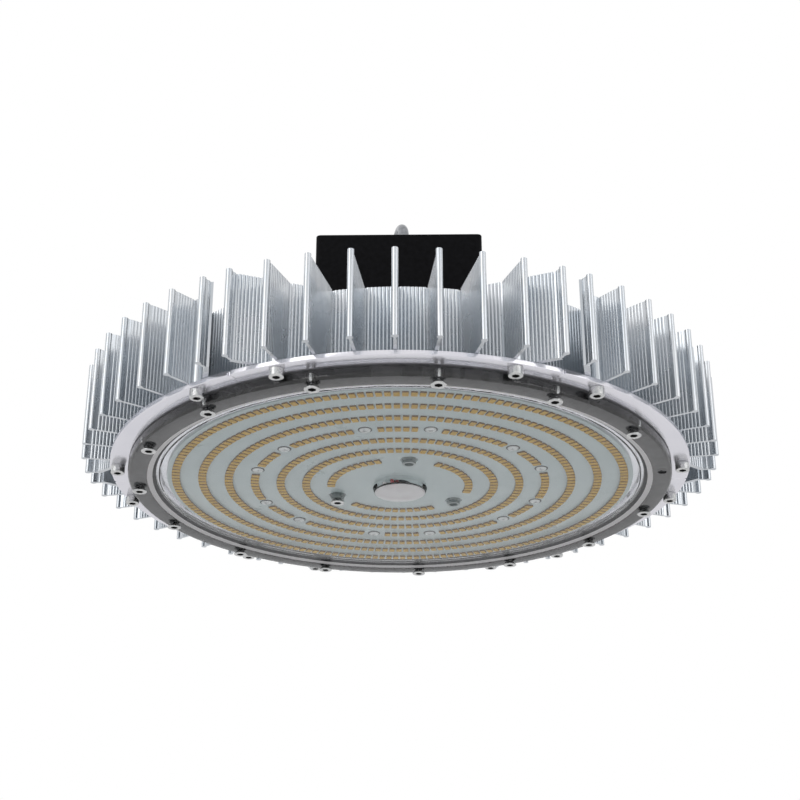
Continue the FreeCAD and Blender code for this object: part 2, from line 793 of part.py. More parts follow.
supply = new_body("supply_lead_master", keep=False)
sketch = new_sketch(supply, "rise", lift="tray_floor + terminal_height")
rise_y = "terminal_place - terminal_depth / 4"
flat_sided(sketch, "lead_radius", "0", rise_y)
pad(supply, sketch, "supply_lead_rise")
bend_level = "tray_floor + terminal_height + supply_lead_rise"
sketch = new_sketch(supply, "bend", lift=bend_level, shift=("0", rise_y + " - supply_lead_bend"))
flat_sided(sketch, "lead_radius", "0", "supply_lead_bend")
turned = revolve(supply, sketch, axis="H_Axis", angle=90.0)
doc.recompute()
if turned.Shape.BoundBox.ZMax < size("tray_floor") + size("terminal_height") \
        + size("supply_lead_rise") + size("lead_radius"):
    turned.Reversed = True
sketch = new_sketch(supply, "run", role="XZ_Plane", lift="-(%s - supply_lead_bend)" % rise_y)
flat_sided(sketch, "lead_radius", "0", bend_level + " + supply_lead_bend")
pad(supply, sketch, rise_y + " - supply_lead_bend - driver_depth / 2")
rows = [FreeCAD.Placement(Vector(pole * size("supply_lead_pitch"), 0, 0), FreeCAD.Rotation())
        for pole in (-1, 0, 1)]
group("supply_leads", supply, rows)

# ---------------------------------------------------------------- cable gland


def gland_sketch(body, name, lift):
    """A sketch square to Y at the gland's height, lift being its distance behind the axis."""
    return new_sketch(body, name, role="XZ_Plane", lift="-(%s)" % lift, shift=("0", "gland_level"))


gland = new_body("gland_body")
sketch = gland_sketch(gland, "flange", "housing_width / 2")
hexagon(sketch, "gland_flats")
pad(gland, sketch, "gland_flange", reversed_way=True)
sketch = gland_sketch(gland, "inner_thread", "housing_width / 2")
circle(sketch, "gland_radius")
pad(gland, sketch, "sheet_thick + gland_inside")
sketch = gland_sketch(gland, "outer_thread", "housing_width / 2 + gland_flange")
circle(sketch, "gland_radius")
pad(gland, sketch, "gland_cap_length / 2", reversed_way=True)
sketch = gland_sketch(gland, "bore", "housing_width / 2 + gland_flange + gland_cap_length / 2")
circle(sketch, "gland_bore")
pocket(gland, sketch, "gland_cap_length / 2 + gland_flange + sheet_thick + gland_inside")

cap = new_body("gland_cap")
sketch = gland_sketch(cap, "dome", "housing_width / 2 + gland_flange")
circle(sketch, "gland_flats / 2")
pad(cap, sketch, "gland_cap_length", reversed_way=True)
sketch = gland_sketch(cap, "thread", "housing_width / 2 + gland_flange")
circle(sketch, "gland_radius")
pocket(cap, sketch, "gland_cap_length / 2", upward=False)
sketch = gland_sketch(cap, "bore", "housing_width / 2 + gland_flange")
circle(sketch, "gland_bore")
pocket(cap, sketch, "gland_cap_length", upward=False)

lock = new_body("gland_nut")
sketch = gland_sketch(lock, "nut", "housing_width / 2 - sheet_thick")
hexagon(sketch, "gland_flats")
circle(sketch, "gland_radius")
pad(lock, sketch, "gland_nut_thick")

# ---------------------------------------------------------------- lifting eye

eye = new_body("eye_bolt")
sketch = new_sketch(eye, "stem", role="XZ_Plane")
polygon(sketch, [
    ("0", "eye_seat - eye_shank_length"),
    ("eye_shank", "eye_seat - eye_shank_length"),
    ("eye_shank", "eye_seat"),
    ("eye_collar", "eye_seat"),
    ("eye_collar", "eye_seat + eye_collar_height"),
    ("eye_wire + 1", "eye_seat + eye_collar_height + 1.5"),
    ("eye_wire", "eye_seat + eye_neck + eye_wire"),
    ("0", "eye_seat + eye_neck + eye_wire"),
])
revolve(eye, sketch)
sketch = new_sketch(eye, "wire", role="XZ_Plane", shift=("0", "eye_centre"), turn="eye_yaw",
                    about=Vector(0, 1, 0))
flat = size("eye_land") / 2 / size("eye_wire")
start = math.degrees(math.asin(flat)) - 90
flats = 9
around = [start + i * (360 - 2 * (start + 90)) / flats for i in range(flats + 1)]
polygon(sketch, [("eye_wire * cos(%g)" % spoke, "eye_wire_circle + eye_wire * sin(%g)" % spoke)
                 for spoke in around])
revolve(eye, sketch, axis="H_Axis")

for label, level in (("eye_washer", "housing_top"), ("nut_washer", "nut_top")):
    washer = new_body(label)
    sketch = new_sketch(washer, "ring", lift=level)
    flat_sided(sketch, "washer_radius", sides=20)
    circle(sketch, "eye_shank + eye_clearance")
    pad(washer, sketch, "washer_thick")

nut = new_body("eye_nut")
sketch = new_sketch(nut, "nut", lift="nut_top")
hexagon(sketch, "eye_nut_flats")
circle(sketch, "eye_shank")
pad(nut, sketch, "eye_nut_height", reversed_way=True)

# ---------------------------------------------------------------- checks and files

doc.recompute()
for item in doc.Objects:
    if "Invalid" in item.State or "Error" in item.State:
        raise RuntimeError("%s did not compute" % item.Label)

os.makedirs("parts", exist_ok=True)
for item in kept:
    if item.Shape.isNull() or not item.Shape.isValid() or not item.Shape.Solids:
        raise RuntimeError("%s has no sound shape" % item.Label)
    item.Shape.exportStep("parts/%s.step" % item.Label)
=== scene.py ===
import bmesh
import bpy
import math
import numpy as np
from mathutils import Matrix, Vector


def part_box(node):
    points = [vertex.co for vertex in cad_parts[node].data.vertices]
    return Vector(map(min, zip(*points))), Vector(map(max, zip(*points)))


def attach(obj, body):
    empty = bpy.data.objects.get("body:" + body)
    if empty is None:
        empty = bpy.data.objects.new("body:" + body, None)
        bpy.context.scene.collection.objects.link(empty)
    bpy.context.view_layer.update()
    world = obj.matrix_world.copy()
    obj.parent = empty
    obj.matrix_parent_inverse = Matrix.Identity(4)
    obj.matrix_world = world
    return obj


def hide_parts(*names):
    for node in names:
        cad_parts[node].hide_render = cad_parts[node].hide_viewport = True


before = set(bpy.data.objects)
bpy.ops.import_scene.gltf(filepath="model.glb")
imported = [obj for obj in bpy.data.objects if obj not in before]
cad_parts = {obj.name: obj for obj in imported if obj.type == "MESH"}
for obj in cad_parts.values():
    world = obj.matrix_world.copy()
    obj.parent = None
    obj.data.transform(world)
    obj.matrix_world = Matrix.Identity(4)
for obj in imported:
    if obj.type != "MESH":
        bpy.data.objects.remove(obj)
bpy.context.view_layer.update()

# ---------------------------------------------------------------------------------------
# Heat sink: six lengths of one aluminium extrusion, each a curved wall with nine ribbed
# fins, two wings and a return wall at each end that closes the joint to its neighbour.
# The lengths are sawn square and stand on the base plate, screwed up from below.

MM = 0.001
FINS_A_SIDE = 4
FIN_PITCH = math.radians(6.847)
FIN_TIP = 200.0 * MM
FIN_HALF = 0.7 * MM
FIN_RIB = 0.30 * MM
BEAD = 1.8 * MM
BEAD_NECK = 4.4 * MM
RIB_PITCH = 2.2 * MM
RIB_CLEAR = 1.0 * MM
WALL_FOOT = 154.65 * MM
WALL_RIB = 0.75 * MM
RETURN_RIB = 0.8 * WALL_RIB
WALL_INSIDE = 150.9 * MM
WING_START = math.radians(13.3)
WING_END = 193.0 * MM
WING_THICK = 2.6 * MM
WING_CORNER = 0.9 * MM
CRISP = 0.3 * MM
RETURN_OUTSIDE = 164.3 * MM
RETURN_INSIDE = 161.8 * MM
JOINT_HALF = math.radians(29.85)
SCREW_BOSS = 4.4 * MM
SCREW_CIRCLE = 177.3 * MM
SCREW_TURN = math.radians(21.3)


def polar(radius, angle):
    """Points at a radius and angle: (r cos a, r sin a)."""
    return np.stack([radius * np.cos(angle), radius * np.sin(angle)], axis=-1)


def ribs(length, height):
    """Half-round ribs along a line, with a plain millimetre at both ends: for rib k and angle f
    from 0 to 180 degrees the station is plain + (k + (1 - cos f) / 2) * pitch and the rise is
    height * sin f."""
    ribbed = length - 2 * RIB_CLEAR
    count = max(1, int(round(ribbed / RIB_PITCH)))
    f = np.linspace(0.0, np.pi, 7)[:-1]
    station = RIB_CLEAR + (np.arange(count)[:, None] + (1 - np.cos(f)) / 2).ravel() * ribbed / count
    rise = np.tile(height * np.sin(f), count)
    return (np.concatenate([[0.0], station, [length - RIB_CLEAR, length]]),
            np.concatenate([[0.0], rise, [0.0, 0.0]]))


def ribbed_line(start, end, height, outward):
    """A straight run from start to end with ribs that rise along the outward direction."""
    start, end = np.asarray(start), np.asarray(end)
    length = np.linalg.norm(end - start)
    station, rise = ribs(length, height)
    along = (end - start) / length
    return start + station[:, None] * along + rise[:, None] * np.asarray(outward)


def ribbed_arc(radius, first, last, height):
    """An arc about the axis with ribs that rise outwards: radius + rise at each angle."""
    station, rise = ribs(radius * (last - first), height)
    return polar(radius + rise, first + station / radius)


def turned(points, angle):
    """The points turned about the axis by an angle."""
    c, s = math.cos(angle), math.sin(angle)
    return points @ np.array([[c, s], [-s, c]])


def fin_side(root):
    """The upper side of a fin along +X, from its root out to the tip of its rounded bead."""
    shoulder = FIN_TIP - BEAD_NECK
    side = ribbed_line((root, FIN_HALF), (shoulder, FIN_HALF), FIN_RIB, (0.0, 1.0))
    sweep = np.radians(np.linspace(150.0, 0.0, 9))
    bead = np.array([FIN_TIP - BEAD, 0.0]) + polar(BEAD, sweep)
    return np.concatenate([side, bead])


def mirrored(points):
    """The points on the other side of the middle line, in the opposite order."""
    return points[::-1] * np.array([1.0, -1.0])


wing_near = polar(WALL_FOOT, WING_START)
wing_far = polar(WING_END, FINS_A_SIDE * FIN_PITCH)
wing_along = (wing_far - wing_near) / np.linalg.norm(wing_far - wing_near)
wing_out = np.array([wing_along[1], -wing_along[0]])
wing_reach = float(wing_near @ wing_out)
wing_facing = math.atan2(wing_out[1], wing_out[0])


def wing_radius(angle, inset=0.0):
    """Distance from the axis to the wing's face at an angle: reach / cos(angle - facing)."""
    return (wing_reach - inset) / math.cos(angle - wing_facing)


def wing_angle(radius, inset=0.0):
    """The angle at which the wing's face, or a line an inset behind it, is at a radius."""
    return wing_facing + math.acos((wing_reach - inset) / radius)


def half_outline():
    """The outline of a segment above its middle line, from the tip of the middle fin round to
    the inside of the wall. Each fin goes up and down; wall, wing and boss join the roots."""
    runs = []
    for k in range(FINS_A_SIDE + 1):
        here = k * FIN_PITCH
        foot = WALL_FOOT if here < WING_START else wing_radius(here)
        clear = math.asin(FIN_HALF / foot)
        lower_root = foot if here < WING_START else wing_radius(here - clear)
        upper_root = foot if here < WING_START else wing_radius(here + clear)
        if k > 0:
            runs.append(turned(mirrored(fin_side(lower_root))[::-1], here))
        if k == 3:
            boss = polar(SCREW_CIRCLE, SCREW_TURN)
            local = turned(boss, -here)
            reach = math.sqrt(SCREW_BOSS ** 2 - (local[1] - FIN_HALF) ** 2)
            upper_root = local[0] + reach
        if k == FINS_A_SIDE:
            upper_root = WING_END - WING_CORNER
        runs.append(turned(fin_side(upper_root)[::-1], here))
        if k < 2:
            runs.append(ribbed_arc(WALL_FOOT, here + clear, here + FIN_PITCH - clear, WALL_RIB))
        elif k == 2:
            next_root = 3 * FIN_PITCH - math.asin(FIN_HALF / wing_radius(3 * FIN_PITCH))
            begin = polar(wing_radius(here + clear), here + clear)
            finish = polar(wing_radius(next_root), next_root)
            runs.append(ribbed_line(begin, finish, WALL_RIB, wing_out))
        elif k == 3:
            first = math.atan2(FIN_HALF - local[1], reach) + here
            off = float(boss @ wing_out) - wing_reach
            along = math.sqrt(SCREW_BOSS ** 2 - off ** 2)
            meet = boss - off * wing_out + along * wing_along
            last = math.atan2(meet[1] - boss[1], meet[0] - boss[0])
            runs.append(boss + polar(SCREW_BOSS, np.linspace(first, last, 14)[1:-1]))
            next_root = 4 * FIN_PITCH - math.asin(FIN_HALF / WING_END)
            finish = polar(wing_radius(next_root), next_root)
            runs.append(ribbed_line(meet, finish, WALL_RIB, wing_out))
    inset = WING_THICK
    runs.append((wing_far - wing_out * inset)[None, :])
    begin = wing_angle(RETURN_OUTSIDE, inset)
    runs.append(ribbed_arc(RETURN_OUTSIDE, begin, JOINT_HALF, RETURN_RIB))
    finish = wing_angle(RETURN_INSIDE, inset)
    runs.append(polar(RETURN_INSIDE, np.linspace(JOINT_HALF, finish, 9)))
    inner = wing_near - wing_out * inset
    corner = math.atan2(inner[1], inner[0])
    runs.append((inner + CRISP * wing_along)[None, :])
    runs.append(polar(WALL_INSIDE, np.append(corner, np.linspace(corner - 0.002, 0.0, 14))))
    return np.concatenate(runs)


def skin(name, points, faces, crease=35.0):
    """A closed mesh from points and faces: doubles merged, faces turned outwards, shaded smooth
    up to the crease angle."""
    mesh = bpy.data.meshes.new(name)
    mesh.from_pydata(np.asarray(points, dtype=float).tolist(), [], [list(f) for f in faces])
    work = bmesh.new()
    work.from_mesh(mesh)
    bmesh.ops.remove_doubles(work, verts=work.verts, dist=1e-6)
    bmesh.ops.dissolve_degenerate(work, edges=work.edges, dist=1e-7)
    bmesh.ops.recalc_face_normals(work, faces=work.faces)
    work.to_mesh(mesh)
    work.free()
    mesh.shade_smooth()
    mesh.set_sharp_from_angle(angle=math.radians(crease))
    return mesh


def show(name, mesh, stands_for, slot, *materials):
    """Puts a mesh in the scene as a piece of the fixed body in place of its CAD nodes."""
    piece = bpy.data.objects.new(name, mesh)
    bpy.context.scene.collection.objects.link(piece)
    for material in materials:
        mesh.materials.append(material)
    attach(piece, "root")
    if stands_for:
        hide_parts(*stands_for)
    return piece


def new_finish(name, colour, roughness, metallic=0.0):
    """An empty node material with its main shader: returns the material, tree and shader."""
    material = bpy.data.materials.new(name)
    material.use_nodes = True
    tree = material.node_tree
    shader = tree.nodes["Principled BSDF"]
    shader.inputs["Base Color"].default_value = (*colour, 1.0)
    shader.inputs["Roughness"].default_value = roughness
    shader.inputs["Metallic"].default_value = metallic
    return material, tree, shader


def grain(tree, scale, stretch=(1.0, 1.0, 1.0), detail=4.0, rough=0.55):
    """Noise in the object's own space, stretched along its axes; returns its factor socket."""
    place = tree.nodes.new("ShaderNodeTexCoord")
    mapping = tree.nodes.new("ShaderNodeMapping")
    mapping.inputs["Scale"].default_value = stretch
    noise = tree.nodes.new("ShaderNodeTexNoise")
    noise.inputs["Scale"].default_value = scale
    noise.inputs["Detail"].default_value = detail
    noise.inputs["Roughness"].default_value = rough
    tree.links.new(place.outputs["Object"], mapping.inputs["Vector"])
    tree.links.new(mapping.outputs["Vector"], noise.inputs["Vector"])
    return noise.outputs["Fac"]


def tint(tree, factor, dark, light, target, low=0.35, high=0.65):
    """Runs a factor through a ramp between two colours into a socket."""
    ramp = tree.nodes.new("ShaderNodeValToRGB")
    ramp.color_ramp.elements[0].position = low
    ramp.color_ramp.elements[1].position = high
    ramp.color_ramp.elements[0].color = (*dark, 1.0)
    ramp.color_ramp.elements[1].color = (*light, 1.0)
    tree.links.new(factor, ramp.inputs["Fac"])
    tree.links.new(ramp.outputs["Color"], target)


def vary(tree, factor, low, high, target):
    """Spreads a factor between two values into a socket."""
    spread = tree.nodes.new("ShaderNodeMapRange")
    spread.inputs["From Min"].default_value = 0.3
    spread.inputs["From Max"].default_value = 0.7
    spread.inputs["To Min"].default_value = low
    spread.inputs["To Max"].default_value = high
    tree.links.new(factor, spread.inputs["Value"])
    tree.links.new(spread.outputs["Result"], target)


def relief(tree, shader, factor, depth):
    """Turns a factor into surface relief of a depth in metres."""
    bump = tree.nodes.new("ShaderNodeBump")
    bump.inputs["Strength"].default_value = 1.0
    bump.inputs["Distance"].default_value = depth
    tree.links.new(factor, bump.inputs["Height"])
    tree.links.new(bump.outputs["Normal"], shader.inputs["Normal"])


extruded, tree, shader = new_finish("extruded_aluminium", (0.64, 0.65, 0.67), 0.28, 1.0)
die_lines = grain(tree, 900.0, (1.0, 1.0, 0.02), 3.0)
clouds = grain(tree, 35.0, (1.0, 1.0, 0.6), 5.0)
tint(tree, clouds, (0.57, 0.605, 0.64), (0.66, 0.68, 0.70), shader.inputs["Base Color"])
vary(tree, clouds, 0.20, 0.30, shader.inputs["Roughness"])
relief(tree, shader, die_lines, 0.00001)

upper_half = half_outline()
outline = np.concatenate([upper_half, mirrored(upper_half)])
fin_bottom, fin_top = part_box("heatsink_segment_1")[0][2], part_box("heatsink_segment_1")[1][2]
rim = len(outline)
around = np.arange(rim)
after = (around + 1) % rim
sides = np.stack([around, after, after + rim, around + rim], axis=1).tolist()
caps = [around[::-1].tolist(), (around + rim).tolist()]
for number in range(6):
    facing = math.radians(60.0 * number - 90.0)
    flat = turned(outline, facing)
    low = np.column_stack([flat, np.full(rim, fin_bottom)])
    high = np.column_stack([flat, np.full(rim, fin_top)])
    mesh = skin("heatsink_%d" % (number + 1), np.concatenate([low, high]), sides + caps)
    show("heatsink_%d" % (number + 1), mesh, ["heatsink_segment_%d" % (number + 1)],
         "fins", extruded)

# ---------------------------------------------------------------------------------------
# Base plate: a 3 mm disc of coated aluminium, turned at its edge, with a small half-round
# notch at each joint of the heat sink. Everything else is screwed to it.

plate_low, plate_high = (corner[2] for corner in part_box("base_plate"))
PLATE_EDGE = 182.3 * MM
PLATE_HOLE = 7.0 * MM
PLATE_MIDDLE = 120.0 * MM
EDGE_ROUND = 0.45 * MM
NOTCH = 1.25 * MM


def ring_grid(radius, height, angles):
    """Points r(j, i), z(j) for profile stations j and angles i about the axis."""
    radius = np.broadcast_to(np.asarray(radius), (len(height), len(angles)))
    x = radius * np.cos(angles)
    y = radius * np.sin(angles)
    z = np.broadcast_to(np.asarray(height)[:, None], radius.shape)
    return np.stack([x, y, z], axis=-1)


def grid_faces(rows, columns, close_rows=False):
    """Four-sided faces of a grid that closes round its columns, and round its rows if asked."""
    j = np.arange(rows if close_rows else rows - 1)
    i = np.arange(columns)
    j, i = (index.ravel() for index in np.meshgrid(j, i, indexing="ij"))
    up = (j + 1) % rows
    across = (i + 1) % columns
    return np.stack([j * columns + i, j * columns + across,
                     up * columns + across, up * columns + i], axis=1)


def lathe(name, profile, steps=256, crease=35.0, close=True, shift=None, angles=None):
    """A profile of (radius, height) stations turned about the axis; shift(angles) moves some
    stations in or out as shift[j, i]."""
    profile = np.asarray(profile, dtype=float)
    if angles is None:
        angles = np.linspace(0.0, 2 * np.pi, steps, endpoint=False)
    radius = profile[:, :1] + (shift if shift is not None else 0.0)
    points = ring_grid(radius, profile[:, 1], angles)
    faces = grid_faces(len(profile), len(angles), close)
    return skin(name, points.reshape(-1, 3), faces.tolist(), crease)


def rounded(radius, height, size, first, last, count=5):
    """Stations of a quarter round about (radius, height), from angle first to last in degrees."""
    sweep = np.radians(np.linspace(first, last, count))
    return [(radius + size * math.cos(a), height + size * math.sin(a)) for a in sweep]


coated, tree, shader = new_finish("satin_plate", (0.80, 0.79, 0.84), 0.2, 0.85)
blots = grain(tree, 18.0, detail=5.0)
tint(tree, blots, (0.77, 0.765, 0.82), (0.83, 0.82, 0.865), shader.inputs["Base Color"])
vary(tree, blots, 0.15, 0.23, shader.inputs["Roughness"])
relief(tree, shader, grain(tree, 700.0, detail=2.0), 0.00002)

seam_turns = np.radians(60.0 * np.arange(6))
near_seam = np.linspace(-1.3, 1.3, 27) * NOTCH / PLATE_EDGE
plate_angles = np.unique(np.concatenate([
    np.linspace(0.0, 2 * np.pi, 360, endpoint=False),
    ((seam_turns[:, None] + near_seam).ravel()) % (2 * np.pi),
]).round(7))
from_seam = (plate_angles + np.pi / 6) % (np.pi / 3) - np.pi / 6
bite = np.sqrt(np.clip(NOTCH ** 2 - (PLATE_EDGE * from_seam) ** 2, 0.0, None))
section = [(PLATE_HOLE, plate_low), (PLATE_MIDDLE, plate_low)]
section += rounded(PLATE_EDGE - EDGE_ROUND, plate_low + EDGE_ROUND, EDGE_ROUND, -90, 0)
section += rounded(PLATE_EDGE - EDGE_ROUND, plate_high - EDGE_ROUND, EDGE_ROUND, 0, 90)
section += [(PLATE_MIDDLE, plate_high), (PLATE_HOLE, plate_high)]
at_edge = np.array([radius > PLATE_MIDDLE for radius, _ in section])
mesh = lathe("plate", section, angles=plate_angles, shift=-bite[None, :] * at_edge[:, None])
show("plate", mesh, ["base_plate"], "plate", coated)

# ---------------------------------------------------------------------------------------
# Gasket: a flat ring die-cut from 1 mm black rubber sheet, squeezed between the plate and
# the rim of the clear cover. It shows dark through the rim.


def refinish(node, material):
    """Gives a CAD node that keeps its shape a new material in place of its first one."""
    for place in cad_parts[node].material_slots:
        place.link = "OBJECT"
        place.material = material


sheet_rubber, tree, shader = new_finish("sheet_rubber", (0.03, 0.03, 0.032), 0.75)
dust = grain(tree, 220.0, detail=5.0)
tint(tree, dust, (0.022, 0.022, 0.024), (0.06, 0.06, 0.062), shader.inputs["Base Color"])
vary(tree, dust, 0.65, 0.85, shader.inputs["Roughness"])
relief(tree, shader, grain(tree, 1500.0, detail=2.0), 0.00004)
refinish("gasket", sheet_rubber)

# ---------------------------------------------------------------------------------------
# Clear cover: one moulding in clear polycarbonate, a flat window with a thick rounded rim,
# three tubular posts that reach up to the plate, and a shallow hollow dome in the middle.
# The dome's face and the rim's sloped step are frosted, and the posts are cloudy.

cover_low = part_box("lens_cover")[0][2]
RIM_FACE = 2.7 * MM
RIM_TOP = 8.3 * MM
RIM_RADIUS = 171.0 * MM
RIM_INSIDE = 159.0 * MM
RIM_ROUND = 1.8 * MM
WINDOW_FACE = 3.7 * MM
WINDOW_BACK = 6.5 * MM
WINDOW_EDGE = 155.8 * MM
WINDOW_MIDDLE = 100.0 * MM
CAVITY = 152.0 * MM
PAST = 1.0 * MM
DOME_FOOT = 17.2 * MM
DOME_FLAT = 16.4 * MM
DOME_WALL = 2.0 * MM
DOME_ROUND = 0.9 * MM
POST_CIRCLE = 43.7 * MM
POST_RADIUS = 4.2 * MM
POST_BORE = 2.75 * MM
COVER_CIRCLE = 164.8 * MM
COVER_BORE = 2.75 * MM
COVER_TURN = 8.0


def front_angle(degrees):
    """Angle about the axis for a place counted from the front of the light towards +X."""
    return np.radians(np.asarray(degrees, dtype=float) - 90.0)


def rods(name, circle_radius, angles, radius, low, high, steps=32):
    """Upright rods on a circle, as one mesh: each a ring of points at both ends."""
    sweep = np.linspace(0.0, 2 * np.pi, steps, endpoint=False)
    ring = ring_grid([[0.0], [radius], [radius], [0.0]], [low, low, high, high], sweep)
    ring = ring.reshape(-1, 3)
    middles = np.column_stack([polar(circle_radius, angles), np.zeros(len(angles))])
    points = (middles[:, None, :] + ring[None, :, :]).reshape(-1, 3)
    faces = grid_faces(4, steps)
    faces = (faces[None, :, :] + (np.arange(len(angles)) * len(ring))[:, None, None]).reshape(-1, 4)
    return skin(name, points, faces.tolist())


def combine(mesh, other, operation):
    """Joins the other mesh to a mesh or cuts it away, and returns the result."""
    keep = bpy.data.objects.new("keep", mesh)
    tool = bpy.data.objects.new("tool", other)
    for item in (keep, tool):
        bpy.context.scene.collection.objects.link(item)
    modifier = keep.modifiers.new("combine", "BOOLEAN")
    modifier.operation = operation
    modifier.solver = "EXACT"
    modifier.object = tool
    bpy.context.view_layer.update()
    state = bpy.context.evaluated_depsgraph_get()
    result = bpy.data.meshes.new_from_object(keep.evaluated_get(state))
    result.name = mesh.name
    for item in (keep, tool):
        bpy.data.objects.remove(item)
    result.shade_smooth()
    result.set_sharp_from_angle(angle=math.radians(30.0))
    return result


section = [(0.0, cover_low)]
section += rounded(DOME_FLAT - DOME_ROUND, cover_low + DOME_ROUND, DOME_ROUND, -90, -15, 7)
section += [(DOME_FOOT, WINDOW_FACE), (DOME_FOOT + CRISP, WINDOW_FACE), (WINDOW_MIDDLE, WINDOW_FACE)]
section += [(WINDOW_EDGE - CRISP, WINDOW_FACE), (WINDOW_EDGE, WINDOW_FACE)]
section += rounded(RIM_INSIDE + 0.4 * MM, RIM_FACE + 0.4 * MM, 0.4 * MM, -150, -90, 4)
section += rounded(RIM_RADIUS - RIM_ROUND, RIM_FACE + RIM_ROUND, RIM_ROUND, -90, 0, 10)
section += [(RIM_RADIUS, RIM_TOP - 0.2 * MM), (RIM_RADIUS - 0.2 * MM, RIM_TOP)]
section += [(CAVITY, RIM_TOP), (CAVITY - 0.4 * MM, WINDOW_BACK + 0.3 * MM)]
section += [(CAVITY - 0.8 * MM, WINDOW_BACK), (CAVITY - 1.1 * MM, WINDOW_BACK)]
section += [(WINDOW_MIDDLE, WINDOW_BACK), (DOME_FOOT - DOME_WALL + CRISP, WINDOW_BACK)]
section += [(DOME_FOOT - DOME_WALL, WINDOW_BACK)]
section += [(DOME_FLAT - DOME_WALL, cover_low + DOME_WALL), (0.0, cover_low + DOME_WALL)]
cover = lathe("cover", section, steps=288, close=False)
post_angles = front_angle(COVER_TURN + 120.0 * np.arange(3))
posts = rods("posts", POST_CIRCLE, post_angles, POST_RADIUS, RIM_FACE, plate_low - 0.02 * MM, 48)
cover = combine(cover, posts, "UNION")
bores = rods("bores", POST_CIRCLE, post_angles, POST_BORE, RIM_FACE - PAST, plate_low + PAST, 32)
cover = combine(cover, bores, "DIFFERENCE")
rim_angles = front_angle(COVER_TURN + 24.0 * np.arange(15))
holes = rods("holes", COVER_CIRCLE, rim_angles, COVER_BORE, RIM_FACE - PAST, RIM_TOP + PAST, 24)
cover = combine(cover, holes, "DIFFERENCE")


def let_light_through(tree, shader):
    """Shadow and diffuse rays go straight through a clear shader, so what lies behind is lit."""
    path = tree.nodes.new("ShaderNodeLightPath")
    either = tree.nodes.new("ShaderNodeMath")
    either.operation = "MAXIMUM"
    clear = tree.nodes.new("ShaderNodeBsdfTransparent")
    clear.inputs["Color"].default_value = (0.95, 0.96, 0.96, 1.0)
    mix = tree.nodes.new("ShaderNodeMixShader")
    tree.links.new(path.outputs["Is Shadow Ray"], either.inputs[0])
    tree.links.new(path.outputs["Is Diffuse Ray"], either.inputs[1])
    tree.links.new(either.outputs["Value"], mix.inputs["Fac"])
    tree.links.new(shader.outputs["BSDF"], mix.inputs[1])
    tree.links.new(clear.outputs["BSDF"], mix.inputs[2])
    tree.links.new(mix.outputs["Shader"], tree.nodes["Material Output"].inputs["Surface"])


def clear_plastic(name, calm):
    """Clear moulded plastic; calm is the share of its light that is bent and never mirrored."""
    material, tree, shader = new_finish(name, (0.965, 0.975, 0.975), 0.02)
    shader.inputs["Transmission Weight"].default_value = 1.0
    shader.inputs["IOR"].default_value = 1.585
    vary(tree, grain(tree, 60.0, detail=4.0), 0.0, 0.03, shader.inputs["Roughness"])
    relief(tree, shader, grain(tree, 25.0, detail=2.0), 0.00002)
    let_light_through(tree, shader)
    if calm:
        bend = tree.nodes.new("ShaderNodeBsdfRefraction")
        bend.inputs["Color"].default_value = (0.965, 0.975, 0.975, 1.0)
        bend.inputs["Roughness"].default_value = 0.0
        bend.inputs["IOR"].default_value = 1.585
        blend = tree.nodes.new("ShaderNodeMixShader")
        blend.inputs["Fac"].default_value = calm
        surface = next(node for node in tree.nodes if node.type == "MIX_SHADER" and node != blend)
        tree.links.new(shader.outputs["BSDF"], blend.inputs[1])
        tree.links.new(bend.outputs["BSDF"], blend.inputs[2])
        tree.links.new(blend.outputs["Shader"], surface.inputs[1])
    return material


polycarbonate = clear_plastic("clear_polycarbonate", 0.0)
clear_window = clear_plastic("clear_window", 0.55)
frosted, tree, shader = new_finish("frosted_polycarbonate", (0.90, 0.88, 0.89), 0.35)
shader.inputs["Transmission Weight"].default_value = 0.6
shader.inputs["IOR"].default_value = 1.585
vary(tree, grain(tree, 90.0), 0.3, 0.42, shader.inputs["Roughness"])
relief(tree, shader, grain(tree, 1200.0), 0.00004)
let_light_through(tree, shader)
cloudy, tree, shader = new_finish("cloudy_post", (0.60, 0.62, 0.62), 0.3)
shader.inputs["Transmission Weight"].default_value = 0.3
shader.inputs["IOR"].default_value = 1.585
tint(tree, grain(tree, 200.0), (0.24, 0.27, 0.27), (0.31, 0.34, 0.34), shader.inputs["Base Color"])
relief(tree, shader, grain(tree, 900.0), 0.00003)
let_light_through(tree, shader)

centre = np.array([polygon.center[:] for polygon in cover.polygons])
reach = np.hypot(centre[:, 0], centre[:, 1])
below = centre[:, 2] < WINDOW_FACE + 0.05 * MM
matt = (reach < DOME_FLAT) & (centre[:, 2] < cover_low + 0.15 * MM)
matt |= (reach > WINDOW_EDGE) & (reach < RIM_INSIDE) & below
post_middles = polar(POST_CIRCLE, post_angles)
from_post = np.linalg.norm(centre[:, None, :2] - post_middles[None], axis=2).min(axis=1)
on_post = from_post < POST_RADIUS + 0.1 * MM
clear = np.where(reach < WINDOW_EDGE, 3, 0)
which = np.where(on_post, 2, np.where(matt, 1, clear))
cover.polygons.foreach_set("material_index", which.astype(np.int32))
show("cover", cover, ["lens_cover"], "cover", polycarbonate, frosted, cloudy, clear_window)

# ---------------------------------------------------------------------------------------
# LED board: a 1.6 mm disc of aluminium-backed board with a pale grey-green solder mask,
# holes for the posts and a hole for the leads. It lies flat against the plate.

board_low, board_high = (corner[2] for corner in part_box("led_board"))
BOARD_RADIUS = 147.0 * MM
BOARD_MIDDLE = 60.0 * MM
BOARD_BURR = 0.12 * MM
BOARD_POST_HOLE = 5.5 * MM

